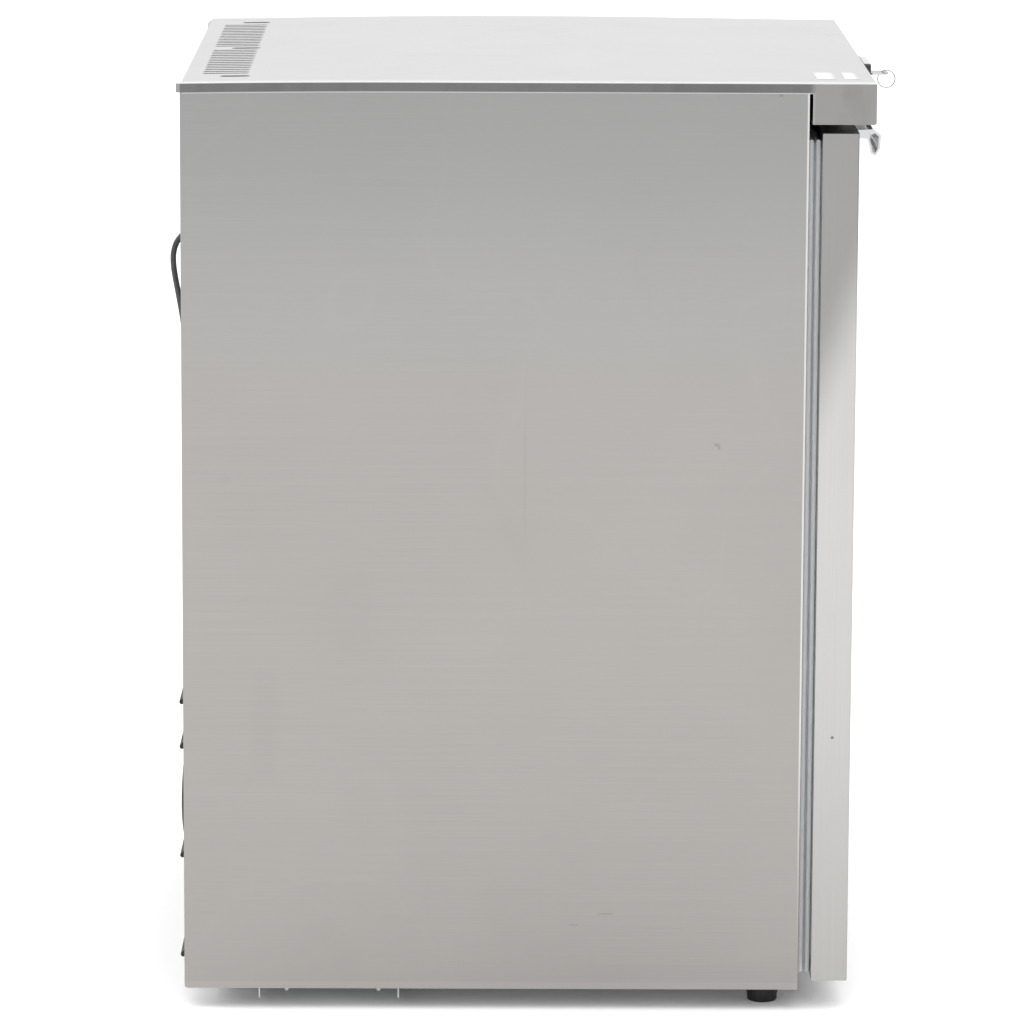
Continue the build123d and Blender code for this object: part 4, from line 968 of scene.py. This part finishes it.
def make_foot_ribs(node, body):
    """The knurled grip round a screw foot."""
    low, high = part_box(node)
    middle_x, middle_y = (low[0] + high[0]) / 2, (low[1] + high[1]) / 2
    bm = bmesh.new()
    centre = Matrix.Translation((middle_x, middle_y, RIB_Z))
    rib = Matrix.Translation((RIB_REACH, 0, 0))
    size = Matrix.Diagonal((*RIB_SIZE, 1))
    for step in range(RIB_COUNT):
        turn = Matrix.Rotation(2 * math.pi * step / RIB_COUNT, 4, "Z")
        bmesh.ops.create_cube(bm, size=1.0, matrix=centre @ turn @ rib @ size)
    mesh = to_mesh(bm, node + "_ribs")
    made = piece(node + "_ribs", mesh, body, "black plastic")
    soften(made, 0.3, 2, 40)


make_foot_ribs("left_foot", "foot_l")
make_foot_ribs("right_foot", "foot_r")

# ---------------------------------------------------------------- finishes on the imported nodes
SOFT_EDGES = {  # edge rounding in millimetres
    0.3: ["lock_plug", "base_fasteners", "shelf_clips", "button_set", "button_up", "button_lamp",
          "button_down", "lock_cam", "back_wall", "base_pan"],
    0.4: ["controller_body", "lock_housing", "intake_grille", "rear_duct_cover",
          "compressor_plate", "plug_pins", "cord_gland", "fan_motor"],
    0.45: ["key"],
    0.5: ["door_handle", "left_foot", "right_foot", "rear_rail", "power_plug", "lower_hinge",
          "upper_hinge", "front_frame"],
    0.8: ["door_skin", "left_roller", "right_roller", "drip_tray", "lamp", "start_relay"],
    1.2: ["compressor"],
    1.5: ["evaporator_cover", "door_liner", "inner_liner"],
}

for look, members in NODE_MATERIALS.items():
    for member in members:
        mesh = nodes[member].data
        mesh.materials.clear()
        mesh.materials.append(MATERIALS[look])
for width, members in SOFT_EDGES.items():
    for member in members:
        soften(nodes[member], width)


# ---------------------------------------------------------------- floor and light
FLOOR_SIZE = 80
FLOOR_DARK, FLOOR_LIGHT = (0.955, 0.955, 0.955), (0.97, 0.97, 0.97)
WHITE = (1.0, 1.0, 1.0, 1.0)

WORLD_HIGH = 1.45             # strength of the light from overhead
WORLD_SIDE = 1.05             # from low down beside the camera
WORLD_BACK = 0.80             # from low down behind the object
WORLD_DIM = 0.15              # from low down before the door, for chrome to mirror

# name, place, aim, size in metres, power in watts
LIGHTS = [
    ("top light", (-1.5, 0.0, 5.0), (0, 0, 0), 5.0, 60),
    ("rear fill", (-0.4, 3.4, 2.4), (0, 0.5, 0), 2.5, 26),
    ("front fill", (-0.4, -3.4, 2.4), (0, -0.5, 0), 2.5, 12),
]


def make_floor():
    """A plain pale floor that runs to the horizon."""
    bpy.ops.mesh.primitive_plane_add(size=FLOOR_SIZE, location=(0, 0, 0))
    floor = bpy.context.object
    floor.name = "floor"
    shader = Shader("pale floor", Roughness=0.9, Emission_Color=WHITE, Emission_Strength=0.035)
    speckle = shader.noise(scale=4.0, detail=2.0)
    shader.colour(shader.mix(shader.span(speckle, 0.3, 0.7), FLOOR_DARK, FLOOR_LIGHT))
    floor.data.materials.append(shader.material)


def make_world():
    """White light: bright overhead, softer low down, and dim low down before the door."""
    world = bpy.data.worlds.new("studio")
    world.use_nodes = True
    graph = Graph(world.node_tree, "Generated")
    overhead = graph.span(graph.axis("Z"), 0.05, 0.50, smooth=True)
    forward = graph.math("MULTIPLY", graph.axis("Y"), -1.0)
    aside = graph.span(forward, 0.30, 0.80, WORLD_SIDE, WORLD_DIM, smooth=True)
    behind = graph.span(graph.axis("X"), 0.1, 0.7, 0.0, WORLD_BACK - WORLD_SIDE, smooth=True)
    low = graph.math("ADD", aside, behind)
    rise = graph.math("MULTIPLY", overhead, graph.math("SUBTRACT", WORLD_HIGH, low))
    background = graph.tree.nodes["Background"]
    graph.link(graph.math("ADD", low, rise), background.inputs["Strength"])
    background.inputs["Color"].default_value = WHITE
    scene.world = world


def make_lights():
    """Large soft lights above, behind and in front."""
    for name, spot, aim, size, power in LIGHTS:
        data = bpy.data.lights.new(name, "AREA")
        data.shape = "SQUARE"
        data.size = size
        data.energy = power
        lamp = bpy.data.objects.new(name, data)
        lamp.location = spot
        facing = Vector(aim) - Vector(spot)
        lamp.rotation_euler = facing.to_track_quat("-Z", "Y").to_euler()
        scene.collection.objects.link(lamp)


make_floor()
make_world()
make_lights()
scene.view_settings.view_transform = "Standard"
